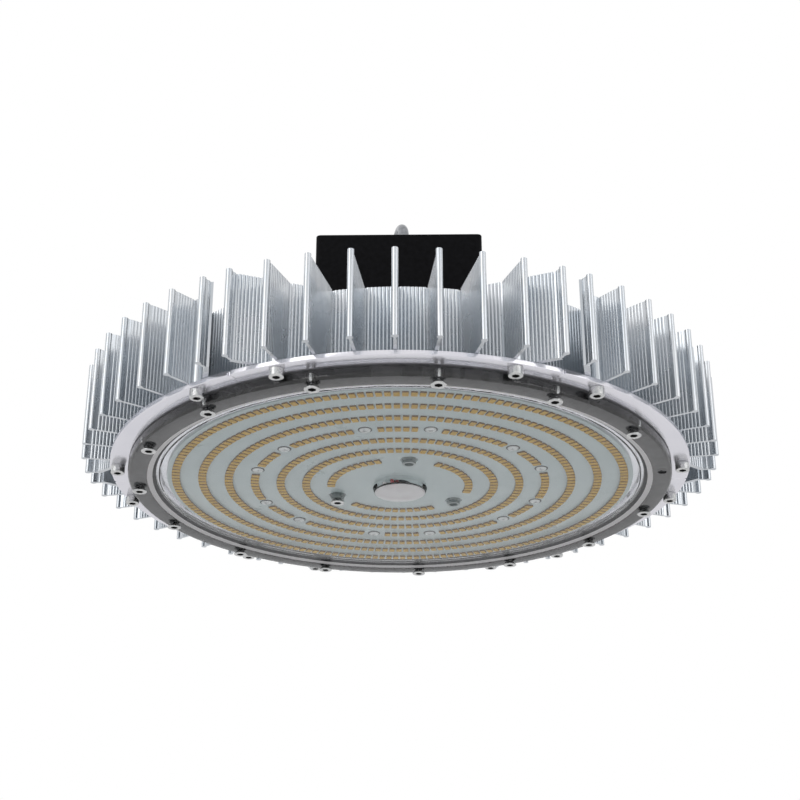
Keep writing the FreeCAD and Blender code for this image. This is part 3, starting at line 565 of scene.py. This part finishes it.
section = [(PLATE_HOLE, board_low), (BOARD_MIDDLE, board_low)]
section += rounded(BOARD_RADIUS - BOARD_BURR, board_low + BOARD_BURR, BOARD_BURR, -90, 0, 3)
section += [(BOARD_RADIUS, board_high), (BOARD_MIDDLE, board_high), (PLATE_HOLE, board_high)]
board = lathe("board", section, steps=288)
post_holes = rods("post_holes", POST_CIRCLE, post_angles, BOARD_POST_HOLE,
                  board_low - PAST, board_high + PAST, 40)
board = combine(board, post_holes, "DIFFERENCE")
solder_mask, tree, shader = new_finish("solder_mask", (0.52, 0.56, 0.56), 0.34)
patch = grain(tree, 26.0, detail=6.0)
tint(tree, patch, (0.32, 0.37, 0.375), (0.36, 0.41, 0.415), shader.inputs["Base Color"])
vary(tree, patch, 0.26, 0.38, shader.inputs["Roughness"])
relief(tree, shader, grain(tree, 900.0, detail=2.0), 0.00003)
show("board", board, ["led_board"], "board", solder_mask)

# ---------------------------------------------------------------------------------------
# LED packages: moulded frames of 5 by 3.6 mm around a yellow phosphor window, their sides painted
# dark brown as shade, soldered to the board in seven rings, their long sides pointing to the middle.

LED_LONG = 5.0 * MM
LED_WIDE = 3.6 * MM
LED_TALL = 1.05 * MM
LED_STEP = 4.95 * MM
PHOSPHOR = 1.9 * MM
FULL_RINGS = (141.5, 125.0, 108.5, 75.8, 59.7)
SCREW_RING = 92.1
POST_RING = 43.7


def frame_ring(long_side, wide_side, cut, height):
    """An eight-cornered rectangle ring: half sides a and b with corners cut by c."""
    a, b, c = long_side / 2, wide_side / 2, cut
    x = np.array([a, a - c, c - a, -a, -a, c - a, a - c, a])
    y = np.array([b - c, b, b, b - c, c - b, -b, -b, c - b])
    return np.column_stack([x, y, np.full(8, height)])


def repeat(mesh, name, middles, turns):
    """Copies of a mesh at several middles, each turned about the upright by its angle."""
    count = len(mesh.vertices)
    points = np.empty(count * 3)
    mesh.vertices.foreach_get("co", points)
    points = points.reshape(-1, 3)
    corner = np.empty(len(mesh.loops), dtype=np.int32)
    mesh.loops.foreach_get("vertex_index", corner)
    start = np.empty(len(mesh.polygons), dtype=np.int32)
    mesh.polygons.foreach_get("loop_start", start)
    index = np.empty(len(mesh.polygons), dtype=np.int32)
    mesh.polygons.foreach_get("material_index", index)
    c, s = np.cos(turns), np.sin(turns)
    zero, one = np.zeros_like(c), np.ones_like(c)
    spin = np.stack([np.stack([c, -s, zero], -1), np.stack([s, c, zero], -1),
                     np.stack([zero, zero, one], -1)], 1)
    placed = np.einsum("kab,nb->kna", spin, points) + np.asarray(middles)[:, None, :]
    copies = len(turns)
    step = np.arange(copies)[:, None]
    result = bpy.data.meshes.new(name)
    result.vertices.add(count * copies)
    result.vertices.foreach_set("co", placed.ravel())
    result.loops.add(len(corner) * copies)
    result.loops.foreach_set("vertex_index", (corner + step * count).ravel().astype(np.int32))
    result.polygons.add(len(start) * copies)
    result.polygons.foreach_set("loop_start", (start + step * len(corner)).ravel().astype(np.int32))
    result.polygons.foreach_set("material_index", np.tile(index, copies))
    result.update(calc_edges=True)
    result.validate()
    result.shade_smooth()
    result.set_sharp_from_angle(angle=math.radians(35.0))
    return result


led_face = board_low - LED_TALL
rings = np.stack([
    frame_ring(LED_LONG, LED_WIDE, 0.15 * MM, board_low),
    frame_ring(LED_LONG, LED_WIDE, 0.15 * MM, led_face + 0.08 * MM),
    frame_ring(LED_LONG - 0.16 * MM, LED_WIDE - 0.16 * MM, 0.15 * MM, led_face),
    frame_ring(LED_LONG - 0.6 * MM, LED_WIDE - 0.7 * MM, 0.3 * MM, led_face),
    frame_ring(LED_LONG - 0.8 * MM, LED_WIDE - 0.9 * MM, 0.3 * MM, led_face + 0.1 * MM),
    frame_ring(1e-9, 1e-9, 0.0, led_face + 0.1 * MM),
])
led = skin("led", rings.reshape(-1, 3), grid_faces(len(rings), 8).tolist(), 30.0)
height = np.array([polygon.center.z for polygon in led.polygons])
reach = np.array([math.hypot(polygon.center.x, polygon.center.y) for polygon in led.polygons])
on_face = height < led_face + 0.12 * MM
# The sides take the first material, painted dark brown as shade; the face's frame and phosphor window
# take the other two.
led.polygons.foreach_set("material_index",
                         (on_face + (on_face & (reach < PHOSPHOR))).astype(np.int32))

led_places = []
for radius in FULL_RINGS:
    number = int(round(2 * math.pi * radius * MM / LED_STEP))
    led_places += [(radius * MM, 360.0 * i / number) for i in range(number)]
step = math.degrees(LED_STEP / (SCREW_RING * MM))
for k in range(6):
    led_places += [(SCREW_RING * MM, 60.0 * k + step * i) for i in np.arange(5) - 2.0]
    led_places += [(SCREW_RING * MM, 60.0 * k + 30.0 + step * i) for i in np.arange(9) - 4.0]
for middle in (68.0, 188.0, -52.0):
    led_places += [(POST_RING * MM, middle + 6.3 * i) for i in np.arange(12) - 5.5]
led_places = np.array(led_places)
led_turns = front_angle(led_places[:, 1])
led_middles = np.column_stack([polar(led_places[:, 0], led_turns), np.zeros(len(led_turns))])
leds = repeat(led, "leds", led_middles, led_turns)

# Painted shade: the package sides are coloured dark brown for the shade on them.
led_side_painted_shade, tree, shader = new_finish("led_side_painted_shade", (0.14, 0.075, 0.018), 0.5)
shader.inputs["Specular IOR Level"].default_value = 0.1
tint(tree, grain(tree, 300.0), (0.11, 0.050, 0.004), (0.16, 0.078, 0.008), shader.inputs["Base Color"])
led_frame, tree, shader = new_finish("led_frame", (0.48, 0.32, 0.05), 0.4)
shader.inputs["Specular IOR Level"].default_value = 0.1
tint(tree, grain(tree, 300.0), (0.36, 0.20, 0.006), (0.45, 0.27, 0.014), shader.inputs["Base Color"])
phosphor, tree, shader = new_finish("led_phosphor", (0.52, 0.29, 0.012), 0.35)
shader.inputs["Specular IOR Level"].default_value = 0.1
tint(tree, grain(tree, 420.0), (0.38, 0.205, 0.002), (0.49, 0.28, 0.005), shader.inputs["Base Color"])
show("leds", leds, [], "board", led_side_painted_shade, led_frame, phosphor)

# ---------------------------------------------------------------------------------------
# Screws seen from below: zinc-plated steel. The board has low pan heads with a cross on washers
# painted near-black as the shadow gap round each head, the cover has countersunk socket screws left
# proud of the rim, and the plate has socket cap screws. Their hex sockets are painted near-black as
# shade.

BOARD_SCREW_CIRCLE = 92.3 * MM
BOARD_SCREW_TURN = 12.0
CAP_TURN = 8.7
SHANK = 2.5 * MM
CAP_TALL = 5.0 * MM
CAP_HEAD = 4.25 * MM
PAN_HEAD = 3.35 * MM
PAN_TALL = 1.05 * MM
EMPTY_HOLE = 3


def on_circle(radius, turns):
    """Middles on a circle at turns counted in degrees from the front."""
    angles = front_angle(turns)
    return np.column_stack([polar(radius, angles), np.zeros(len(angles))])


def pairs_each_sixth(first, apart):
    """Turns of six pairs round the axis, each pair an angle apart from its own middle."""
    return (first + 60.0 * np.arange(6)[:, None] + np.array([-apart, apart])).ravel()


def hexagon_radius(flats, angles):
    """Distance to a hexagon's side: half the flats / cos(angle from the nearest flat)."""
    return flats / 2 / np.cos((angles + np.pi / 6) % (np.pi / 3) - np.pi / 6)


def socket_screw(name, profile, face, flats, depth, steps=48, knurl=None):
    """A screw with its head down: the profile's stations (radius, height) run from the top of
    the shank to the face, then a hexagonal socket goes up by its depth."""
    angles = np.linspace(0.0, 2 * np.pi, steps, endpoint=False)
    key = hexagon_radius(flats, angles)
    rows = [np.full(steps, radius) for radius, _ in profile]
    heights = [height for _, height in profile]
    if knurl is not None:
        wave = 0.09 * MM * (0.5 - 0.5 * np.cos(angles * steps / 4))
        rows = [row - wave * (j in knurl) for j, row in enumerate(rows)]
    for row, height in ((key * 1.06, face), (key, face + 0.1 * MM), (key, face + depth),
                        (key * 0.5, face + depth + 0.35 * MM), (key * 1e-6, face + depth + 0.5 * MM)):
        rows.append(row)
        heights.append(height)
    points = ring_grid(np.array(rows), heights, angles)
    screw = skin(name, points.reshape(-1, 3), grid_faces(len(rows), steps).tolist(), 30.0)
    # The faces inside the socket take the second material, painted near-black as the shade in the
    # recess.
    centre = np.array([polygon.center[:] for polygon in screw.polygons])
    inside = np.hypot(centre[:, 0], centre[:, 1]) < flats * 0.56
    inside &= (centre[:, 2] > face + 0.06 * MM) & (centre[:, 2] < face + depth + 0.6 * MM)
    screw.polygons.foreach_set("material_index", inside.astype(np.int32))
    return screw


def thread_stations(radius, low, high, pitch=0.8 * MM):
    """Ridges of a thread down a shank, two stations a turn."""
    height = np.arange(high, low, -pitch / 2)
    return [(radius - 0.25 * MM * (i % 2), z) for i, z in enumerate(height)]


plated, tree, shader = new_finish("zinc_plate", (0.74, 0.74, 0.73), 0.24, 1.0)
wear = grain(tree, 260.0, detail=5.0)
tint(tree, wear, (0.50, 0.51, 0.51), (0.68, 0.68, 0.67), shader.inputs["Base Color"])
vary(tree, wear, 0.16, 0.34, shader.inputs["Roughness"])
relief(tree, shader, grain(tree, 1800.0, detail=2.0), 0.00001)

# Painted shade: near-black inside the hex sockets and on the washer ring round each board screw head,
# for the shade in the sockets and the shadow gap round the heads.
dark_painted_shade, tree, shader = new_finish("dark_painted_shade_finish", (0.03, 0.03, 0.03), 0.5, 0.6)
tint(tree, grain(tree, 900.0), (0.015, 0.015, 0.015), (0.05, 0.05, 0.05), shader.inputs["Base Color"])
relief(tree, shader, grain(tree, 1500.0), 0.00002)

head = RIM_FACE
profile = [(0.0, plate_high)] + thread_stations(SHANK, head + 0.1 * MM, plate_high)
profile += [(2.6 * MM, head), (4.35 * MM, 0.75 * MM), (4.5 * MM, 0.6 * MM)]
profile += [(4.5 * MM, 0.2 * MM), (4.3 * MM, 0.0)]
cover_screw = socket_screw("cover_screw", profile, 0.0, 4.2 * MM, 1.7 * MM)
screw_turns = np.delete(COVER_TURN + 24.0 * np.arange(15), EMPTY_HOLE)
spin = np.radians((screw_turns * 37.0) % 60.0)
mesh = repeat(cover_screw, "cover_screws", on_circle(COVER_CIRCLE, screw_turns), spin)
show("cover_screws", mesh, ["lens_screws"], "zinc", plated, dark_painted_shade)
turn = [COVER_TURN - 120.0]
mesh = repeat(cover_screw, "post_screw", on_circle(POST_CIRCLE, turn), front_angle(turn))
show("post_screw", mesh, ["centre_screw"], "zinc", plated, dark_painted_shade)

cap_face = plate_low - CAP_TALL
profile = [(0.0, plate_high), (SHANK, plate_high), (SHANK, plate_low), (3.9 * MM, plate_low)]
profile += [(4.2 * MM, plate_low - 0.3 * MM), (CAP_HEAD, plate_low - 0.5 * MM)]
profile += [(CAP_HEAD, cap_face + 0.9 * MM)]
profile += rounded(CAP_HEAD - 0.5 * MM, cap_face + 0.5 * MM, 0.5 * MM, 0, -90, 5)
cap_screw = socket_screw("cap_screw", profile, cap_face, 4.0 * MM, 2.5 * MM, 144, knurl=(5, 6))
cap_turns = pairs_each_sixth(30.0, CAP_TURN)
spin = np.radians((cap_turns * 53.0) % 60.0)
mesh = repeat(cap_screw, "cap_screws_visible", on_circle(SCREW_CIRCLE, cap_turns), spin)
show("cap_screws_visible", mesh, ["cap_screws"], "zinc", plated, dark_painted_shade)


def pan_head(name, radius, tall, seat, steps=48, rows=16):
    """A low domed head on a washer below its seat: 0.35 of the height as a straight edge, the
    rest times sqrt(1 - (r / R)^3), pressed up where a cross-shaped driver goes, by a smooth
    step in the distance from the cross."""
    angles = np.linspace(0.0, 2 * np.pi, steps, endpoint=False)
    r = np.concatenate([[radius, radius], radius * np.linspace(1.0, 0.0, rows)[1:]])
    grid_r = np.broadcast_to(r[:, None], (len(r), steps))
    dome = seat - 0.35 * tall - 0.65 * tall * np.sqrt(np.clip(1 - (grid_r / radius) ** 3, 0.0, 1.0))
    x, y = np.abs(grid_r * np.cos(angles)), np.abs(grid_r * np.sin(angles))
    inside = np.clip((0.42 * MM - np.minimum(x, y)) / (0.15 * MM), 0.0, 1.0)
    inside = inside * np.clip((1.9 * MM - np.maximum(x, y)) / (0.3 * MM), 0.0, 1.0)
    z = dome + inside * tall * 0.7
    z[0] = seat
    points = np.stack([grid_r * np.cos(angles), grid_r * np.sin(angles), z], axis=-1)
    washer = ring_grid([[0.0], [1.25 * radius], [1.25 * radius], [radius]],
                       [seat, seat, seat - 0.2 * MM, seat - 0.2 * MM], angles)
    points[0, :, 2] = seat - 0.2 * MM
    points = np.concatenate([washer, points])
    screw = skin(name, points.reshape(-1, 3), grid_faces(len(points), steps).tolist(), 32.0)
    # The washer ring takes the second material, painted near-black as the shadow gap round the head.
    reach = np.array([math.hypot(polygon.center.x, polygon.center.y) for polygon in screw.polygons])
    screw.polygons.foreach_set("material_index", (reach > radius).astype(np.int32))
    return screw


dulled, tree, shader = new_finish("dull_zinc_plate", (0.42, 0.43, 0.43), 0.36, 1.0)
tint(tree, grain(tree, 260.0), (0.50, 0.51, 0.515), (0.68, 0.69, 0.69), shader.inputs["Base Color"])
vary(tree, grain(tree, 260.0), 0.28, 0.44, shader.inputs["Roughness"])
relief(tree, shader, grain(tree, 1800.0, detail=2.0), 0.00001)
board_screw = pan_head("board_screw", PAN_HEAD, PAN_TALL, board_low)
board_turns = pairs_each_sixth(0.0, BOARD_SCREW_TURN)
spin = np.radians((board_turns * 41.0) % 90.0)
mesh = repeat(board_screw, "board_screw_heads", on_circle(BOARD_SCREW_CIRCLE, board_turns), spin)
show("board_screw_heads", mesh, ["board_screws"], "zinc", dulled, dark_painted_shade)

# ---------------------------------------------------------------------------------------
# Leads to the board: two PVC-covered wires, red and black, that come down through the hole
# in plate and board inside the dome and turn back up to their solder pads.

LEAD_RADIUS = 1.1 * MM
LEAD_SPREAD = 4.0 * MM
LEAD_BEND = 3.0 * MM
LEAD_TURNS = {"lead_red": 240.0, "lead_black": 190.0}
tray_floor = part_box("led_driver")[0][2]


def tube(path, radius, steps=20):
    """A round tube along a path in one upright plane: at each point the ring lies square to
    the path's direction, spanned by the plane's normal and the normal within the plane."""
    path = np.asarray(path)
    along = np.gradient(path, axis=0)
    along /= np.linalg.norm(along, axis=1)[:, None]
    side = np.array([0.0, 1.0, 0.0])
    inner = np.cross(side, along)
    sweep = np.linspace(0.0, 2 * np.pi, steps, endpoint=False)
    ring = (np.cos(sweep)[None, :, None] * side + np.sin(sweep)[None, :, None] * inner[:, None, :])
    body = path[:, None, :] + radius * ring
    first = np.repeat(path[:1, None, :], steps, axis=1)
    last = np.repeat(path[-1:, None, :], steps, axis=1)
    return np.concatenate([first, body, last])


def lead_finish(name, dark, light):
    """Extruded PVC in two shades of one colour."""
    material, tree, shader = new_finish(name, light, 0.38)
    tint(tree, grain(tree, 500.0), dark, light, shader.inputs["Base Color"])
    vary(tree, grain(tree, 150.0), 0.3, 0.5, shader.inputs["Roughness"])
    relief(tree, shader, grain(tree, 900.0), 0.00003)
    return material


solder, tree, shader = new_finish("solder", (0.66, 0.66, 0.65), 0.3, 1.0)
tint(tree, grain(tree, 700.0), (0.5, 0.5, 0.5), (0.78, 0.78, 0.76), shader.inputs["Base Color"])
relief(tree, shader, grain(tree, 500.0), 0.0001)
pvc = {"lead_red": lead_finish("red_pvc", (0.24, 0.03, 0.035), (0.36, 0.06, 0.065)),
       "lead_black": lead_finish("black_pvc", (0.012, 0.012, 0.012), (0.035, 0.035, 0.035))}
drop = np.linspace(tray_floor, board_low, 6)
swing = np.radians(np.linspace(180.0, 352.0, 20)[1:])
path = np.concatenate([
    np.column_stack([np.full(6, LEAD_SPREAD), np.zeros(6), drop]),
    np.column_stack([LEAD_SPREAD + LEAD_BEND + LEAD_BEND * np.cos(swing), np.zeros(19),
                     board_low + LEAD_BEND * np.sin(swing)]),
])
grid = tube(path, LEAD_RADIUS)
for node, turn in LEAD_TURNS.items():
    mesh = skin(node + "_wire", grid.reshape(-1, 3), grid_faces(len(grid), 20).tolist())
    wire = repeat(mesh, node + "_wire", [(0.0, 0.0, 0.0)], np.radians([turn]))
    show(node + "_wire", wire, [node], node.split("_")[1], pvc[node])
    section = [(0.0, board_low), (2.0 * MM, board_low), (1.7 * MM, board_low - 0.35 * MM),
               (1.1 * MM, board_low - 0.8 * MM), (0.0, board_low - 1.0 * MM)]
    blob = lathe("blob", section, steps=24, close=False)
    place = np.append(polar(LEAD_SPREAD + 2 * LEAD_BEND, math.radians(turn)), 0.0)
    mesh = repeat(blob, node + "_solder", [place], np.zeros(1))
    show(node + "_solder", mesh, [], "zinc", solder)

# ---------------------------------------------------------------------------------------
# Driver tray: black-coated sheet steel with upturned flanges, which closes the housing from
# below and stands on four hexagonal steel standoffs screwed into the plate. Its screws and
# the nut inside the housing are plated.

powder, tree, shader = new_finish("black_powder_coat", (0.005, 0.005, 0.006), 0.5)
shader.inputs["Specular IOR Level"].default_value = 0.05
speck = grain(tree, 320.0, detail=4.0)
tint(tree, speck, (0.0025, 0.0025, 0.003), (0.005, 0.005, 0.006), shader.inputs["Base Color"])
vary(tree, speck, 0.36, 0.50, shader.inputs["Roughness"])
relief(tree, shader, grain(tree, 1100.0, detail=3.0), 0.00006)
refinish("driver_tray", powder)
for node in ("standoffs", "tray_screws", "housing_screws", "driver_screws", "nut_washer", "eye_nut"):
    refinish(node, plated)

# ---------------------------------------------------------------------------------------
# LED driver and terminal: a grey-coated driver case screwed to the tray by its two feet, and
# a cream terminal block with three short leads. Both are inside the housing.

case_coat, tree, shader = new_finish("driver_case_coat", (0.50, 0.51, 0.52), 0.4)
tint(tree, grain(tree, 90.0), (0.44, 0.45, 0.46), (0.54, 0.55, 0.56), shader.inputs["Base Color"])
relief(tree, shader, grain(tree, 900.0), 0.00005)
refinish("led_driver", case_coat)
cream, tree, shader = new_finish("cream_moulding", (0.82, 0.79, 0.70), 0.45)
tint(tree, grain(tree, 60.0), (0.78, 0.75, 0.66), (0.85, 0.82, 0.74), shader.inputs["Base Color"])
relief(tree, shader, grain(tree, 700.0), 0.00004)
refinish("terminal_block", cream)
refinish("supply_leads", pvc["lead_black"])

# ---------------------------------------------------------------------------------------
# Driver housing: a box folded from 1.5 mm steel sheet, welded at its corners and coated
# satin black, open below over the tray and held to it by two screws on each side.

housing_low, housing_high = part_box("driver_housing")
SHEET = 1.5 * MM
EYE_HOLE = 5.0 * MM
INNER_CORNER = 1.0 * MM
CORNER = 2.5 * MM
FOLD = 0.8 * MM
half_side = housing_high[0]


def rounded_square(half, corner, steps=7):
    """Points round a square with rounded corners: straight sides joined by quarter circles."""
    sweep = np.radians(np.linspace(0.0, 90.0, steps))
    quarter = np.array([half - corner, half - corner]) + polar(corner, sweep)
    return np.concatenate([turned(quarter, math.radians(90.0 * k)) for k in range(4)])


foot, top = housing_low[2], housing_high[2]
stations = [(half_side - SHEET, INNER_CORNER, foot), (half_side, CORNER, foot)]
stations += [(half_side, CORNER, z) for z in np.linspace(foot, top - FOLD, 6)[1:]]
for half, level in rounded(half_side - FOLD, top - FOLD, FOLD, 0, 90, 7)[1:]:
    stations.append((half, CORNER, level))
stations += [(EYE_HOLE, 0.5 * MM, top), (EYE_HOLE, 0.5 * MM, top - SHEET)]
stations += [(half_side - SHEET, INNER_CORNER, top - SHEET)]
shell = np.stack([np.column_stack([rounded_square(half, min(corner, half)), np.full(28, z)])
                  for half, corner, z in stations])
faces = grid_faces(len(stations), 28, close_rows=True)
mesh = skin("housing", shell.reshape(-1, 3), faces.tolist(), 30.0)
show("housing", mesh, ["driver_housing"], "black_steel", powder)

# ---------------------------------------------------------------------------------------
# Cable gland: a black nylon gland in the back of the housing, with a hexagonal flange, a
# ribbed domed nut outside and a lock nut inside.

nylon, tree, shader = new_finish("black_nylon", (0.02, 0.02, 0.021), 0.5)
tint(tree, grain(tree, 200.0), (0.016, 0.016, 0.017), (0.03, 0.03, 0.031), shader.inputs["Base Color"])
relief(tree, shader, grain(tree, 1300.0), 0.00005)
refinish("gland_body", nylon)
refinish("gland_nut", nylon)
gland_low, gland_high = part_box("gland_cap")
gland_level = (gland_low[2] + gland_high[2]) / 2
FLUTES = 20
FLUTE_DEEP = 0.35 * MM
steps = 6 * FLUTES
angles = np.linspace(0.0, 2 * np.pi, steps, endpoint=False)
flutes = FLUTE_DEEP * (0.5 - 0.5 * np.cos(angles * FLUTES))
# each station: radius and distance from the flange in millimetres, and the share of the flutes
stations = np.array([
    (8.0, 0.0, 0.0), (10.6, 0.0, 0.0), (11.0, 0.4, 1.0), (11.0, 8.5, 1.0), (10.5, 9.5, 0.6),
    (9.6, 11.8, 0.0), (8.2, 13.2, 0.0), (6.4, 14.0, 0.0), (5.2, 14.0, 0.0), (4.5, 13.4, 0.0),
    (4.5, 7.2, 0.0), (8.0, 7.2, 0.0)])
radius = stations[:, :1] * MM - flutes * stations[:, 2:]
along = gland_low[1] + stations[:, 1] * MM
grid = np.stack([radius * np.cos(angles), np.broadcast_to(along[:, None], radius.shape),
                 gland_level + radius * np.sin(angles)], axis=-1)
faces = grid_faces(len(stations), steps, close_rows=True)
mesh = skin("gland_dome", grid.reshape(-1, 3), faces.tolist(), 30.0)
show("gland_dome", mesh, ["gland_cap"], "gland", nylon)

# ---------------------------------------------------------------------------------------
# Lifting eye: a polished steel forging, a round ring of 7 mm wire on a collar, that stands
# on a washer on the housing's top and is held by a nut inside.

eye_low, eye_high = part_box("eye_bolt")
EYE_WIRE = 3.5 * MM
EYE_RING = 13.36 * MM
EYE_SHANK = 4.0 * MM
EYE_COLLAR = 8.0 * MM
RING_STEPS = 72
WIRE_STEPS = 28
eye_yaw = math.radians(12.0)
eye_middle = eye_high[2] - EYE_RING - EYE_WIRE
eye_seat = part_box("eye_washer")[1][2]
polished, tree, shader = new_finish("polished_steel", (0.40, 0.41, 0.43), 0.1, 1.0)
scuffs = grain(tree, 240.0, detail=6.0)
tint(tree, scuffs, (0.20, 0.21, 0.22), (0.36, 0.37, 0.39), shader.inputs["Base Color"])
vary(tree, scuffs, 0.05, 0.15, shader.inputs["Roughness"])
relief(tree, shader, grain(tree, 120.0), 0.00006)
sweep = np.linspace(0.0, 2 * np.pi, RING_STEPS, endpoint=False)
section_turn = np.linspace(0.0, 2 * np.pi, WIRE_STEPS, endpoint=False)
ring_reach = EYE_RING + EYE_WIRE * np.cos(section_turn)[None, :]
grid = np.stack([np.broadcast_to(EYE_WIRE * np.sin(section_turn), (RING_STEPS, WIRE_STEPS)),
                 -ring_reach * np.sin(sweep)[:, None],
                 eye_middle + ring_reach * np.cos(sweep)[:, None]], axis=-1)
faces = grid_faces(RING_STEPS, WIRE_STEPS, close_rows=True)
ring = skin("eye_ring", grid.reshape(-1, 3), faces.tolist(), 60.0)
stem = lathe("eye_stem", [
    (0.0, eye_low[2]), (EYE_SHANK - 0.4 * MM, eye_low[2]), (EYE_SHANK, eye_low[2] + 0.4 * MM),
    (EYE_SHANK, eye_seat), (EYE_COLLAR - 0.4 * MM, eye_seat), (EYE_COLLAR, eye_seat + 0.4 * MM),
    (EYE_COLLAR, eye_seat + 2.0 * MM),
    (7.4 * MM, eye_seat + 2.6 * MM), (5.6 * MM, eye_seat + 3.0 * MM), (4.4 * MM, eye_seat + 3.8 * MM),
    (3.4 * MM, eye_seat + 4.6 * MM), (0.0, eye_seat + 5.0 * MM)],
    steps=48, close=False)
eye = combine(ring, stem, "UNION")
mesh = repeat(eye, "eye", [(0.0, 0.0, 0.0)], np.array([eye_yaw]))
show("eye", mesh, ["eye_bolt"], "steel", polished)
refinish("eye_washer", plated)

# ---------------------------------------------------------------------------------------
# Room: a plain pale floor far below the light, soft lamps and a white surround, and the
# camera below and in front, looking up.

floor_finish, tree, shader = new_finish("floor_paint", (0.86, 0.86, 0.86), 0.7)
tint(tree, grain(tree, 3.0), (0.85, 0.85, 0.85), (0.88, 0.88, 0.88), shader.inputs["Base Color"])
FLOOR_LEVEL = -1.6
FLOOR_HALF = 8.0
mesh = bpy.data.meshes.new("floor")
mesh.from_pydata([(x * FLOOR_HALF, y * FLOOR_HALF, FLOOR_LEVEL)
                  for x, y in ((-1, -1), (1, -1), (1, 1), (-1, 1))], [], [(0, 1, 2, 3)])
mesh.materials.append(floor_finish)
floor = bpy.data.objects.new("floor", mesh)
bpy.context.scene.collection.objects.link(floor)


def lamp(name, place, aim, wide, tall, power):
    """A soft rectangular lamp that faces its aim."""
    light = bpy.data.lights.new(name, "AREA")
    light.shape = "RECTANGLE"
    light.size, light.size_y = wide, tall
    light.energy = power
    body = bpy.data.objects.new(name, light)
    body.location = place
    body.rotation_euler = (Vector(aim) - Vector(place)).to_track_quat("-Z", "Y").to_euler()
    bpy.context.scene.collection.objects.link(body)


lamp("key", (-1.3, -1.5, 1.1), (0.0, 0.0, 0.05), 1.2, 1.2, 6.0)
lamp("fill", (1.5, -1.1, 0.5), (0.0, 0.0, 0.05), 1.0, 1.0, 3.0)

world = bpy.data.worlds.new("surround")
bpy.context.scene.world = world
world.use_nodes = True
tree = world.node_tree
background = tree.nodes["Background"]
place = tree.nodes.new("ShaderNodeTexCoord")
split = tree.nodes.new("ShaderNodeSeparateXYZ")
tree.links.new(place.outputs["Generated"], split.inputs["Vector"])
band = tree.nodes.new("ShaderNodeMath")
band.operation = "MULTIPLY"
for socket, axis, first, last in ((0, "Y", 0.80, 0.96), (1, "Z", 0.0, 0.22)):
    spread = tree.nodes.new("ShaderNodeMapRange")
    spread.inputs["From Min"].default_value = first
    spread.inputs["From Max"].default_value = last
    tree.links.new(split.outputs[axis], spread.inputs["Value"])
    tree.links.new(spread.outputs["Result"], band.inputs[socket])
path = tree.nodes.new("ShaderNodeLightPath")
seen = tree.nodes.new("ShaderNodeMath")
seen.operation = "MAXIMUM"
tree.links.new(path.outputs["Is Camera Ray"], seen.inputs[0])
tree.links.new(path.outputs["Is Transmission Ray"], seen.inputs[1])
walls = tree.nodes.new("ShaderNodeMix")
walls.data_type = "RGBA"
walls.inputs["A"].default_value = (0.88, 0.88, 0.89, 1.0)
walls.inputs["B"].default_value = (0.24, 0.27, 0.31, 1.0)
tree.links.new(band.outputs["Value"], walls.inputs["Factor"])
pick = tree.nodes.new("ShaderNodeMix")
pick.data_type = "RGBA"
pick.inputs["B"].default_value = (1.0, 1.0, 1.0, 1.0)
tree.links.new(seen.outputs["Value"], pick.inputs["Factor"])
tree.links.new(walls.outputs["Result"], pick.inputs["A"])
tree.links.new(pick.outputs["Result"], background.inputs["Color"])
background.inputs["Strength"].default_value = 1.0
bpy.context.scene.view_settings.view_transform = "Standard"

AIM = Vector((0.0, 0.0, 0.06556))
lens = bpy.data.cameras.new("camera")
lens.lens = 68.54
lens.sensor_width = 36.0
lens.clip_start = 0.01
camera = bpy.data.objects.new("camera", lens)
camera.location = AIM + Vector((0.0124, -0.9056, -0.4105))
camera.rotation_euler = (AIM - camera.location).to_track_quat("-Z", "Y").to_euler()
bpy.context.scene.collection.objects.link(camera)
bpy.context.scene.camera = camera
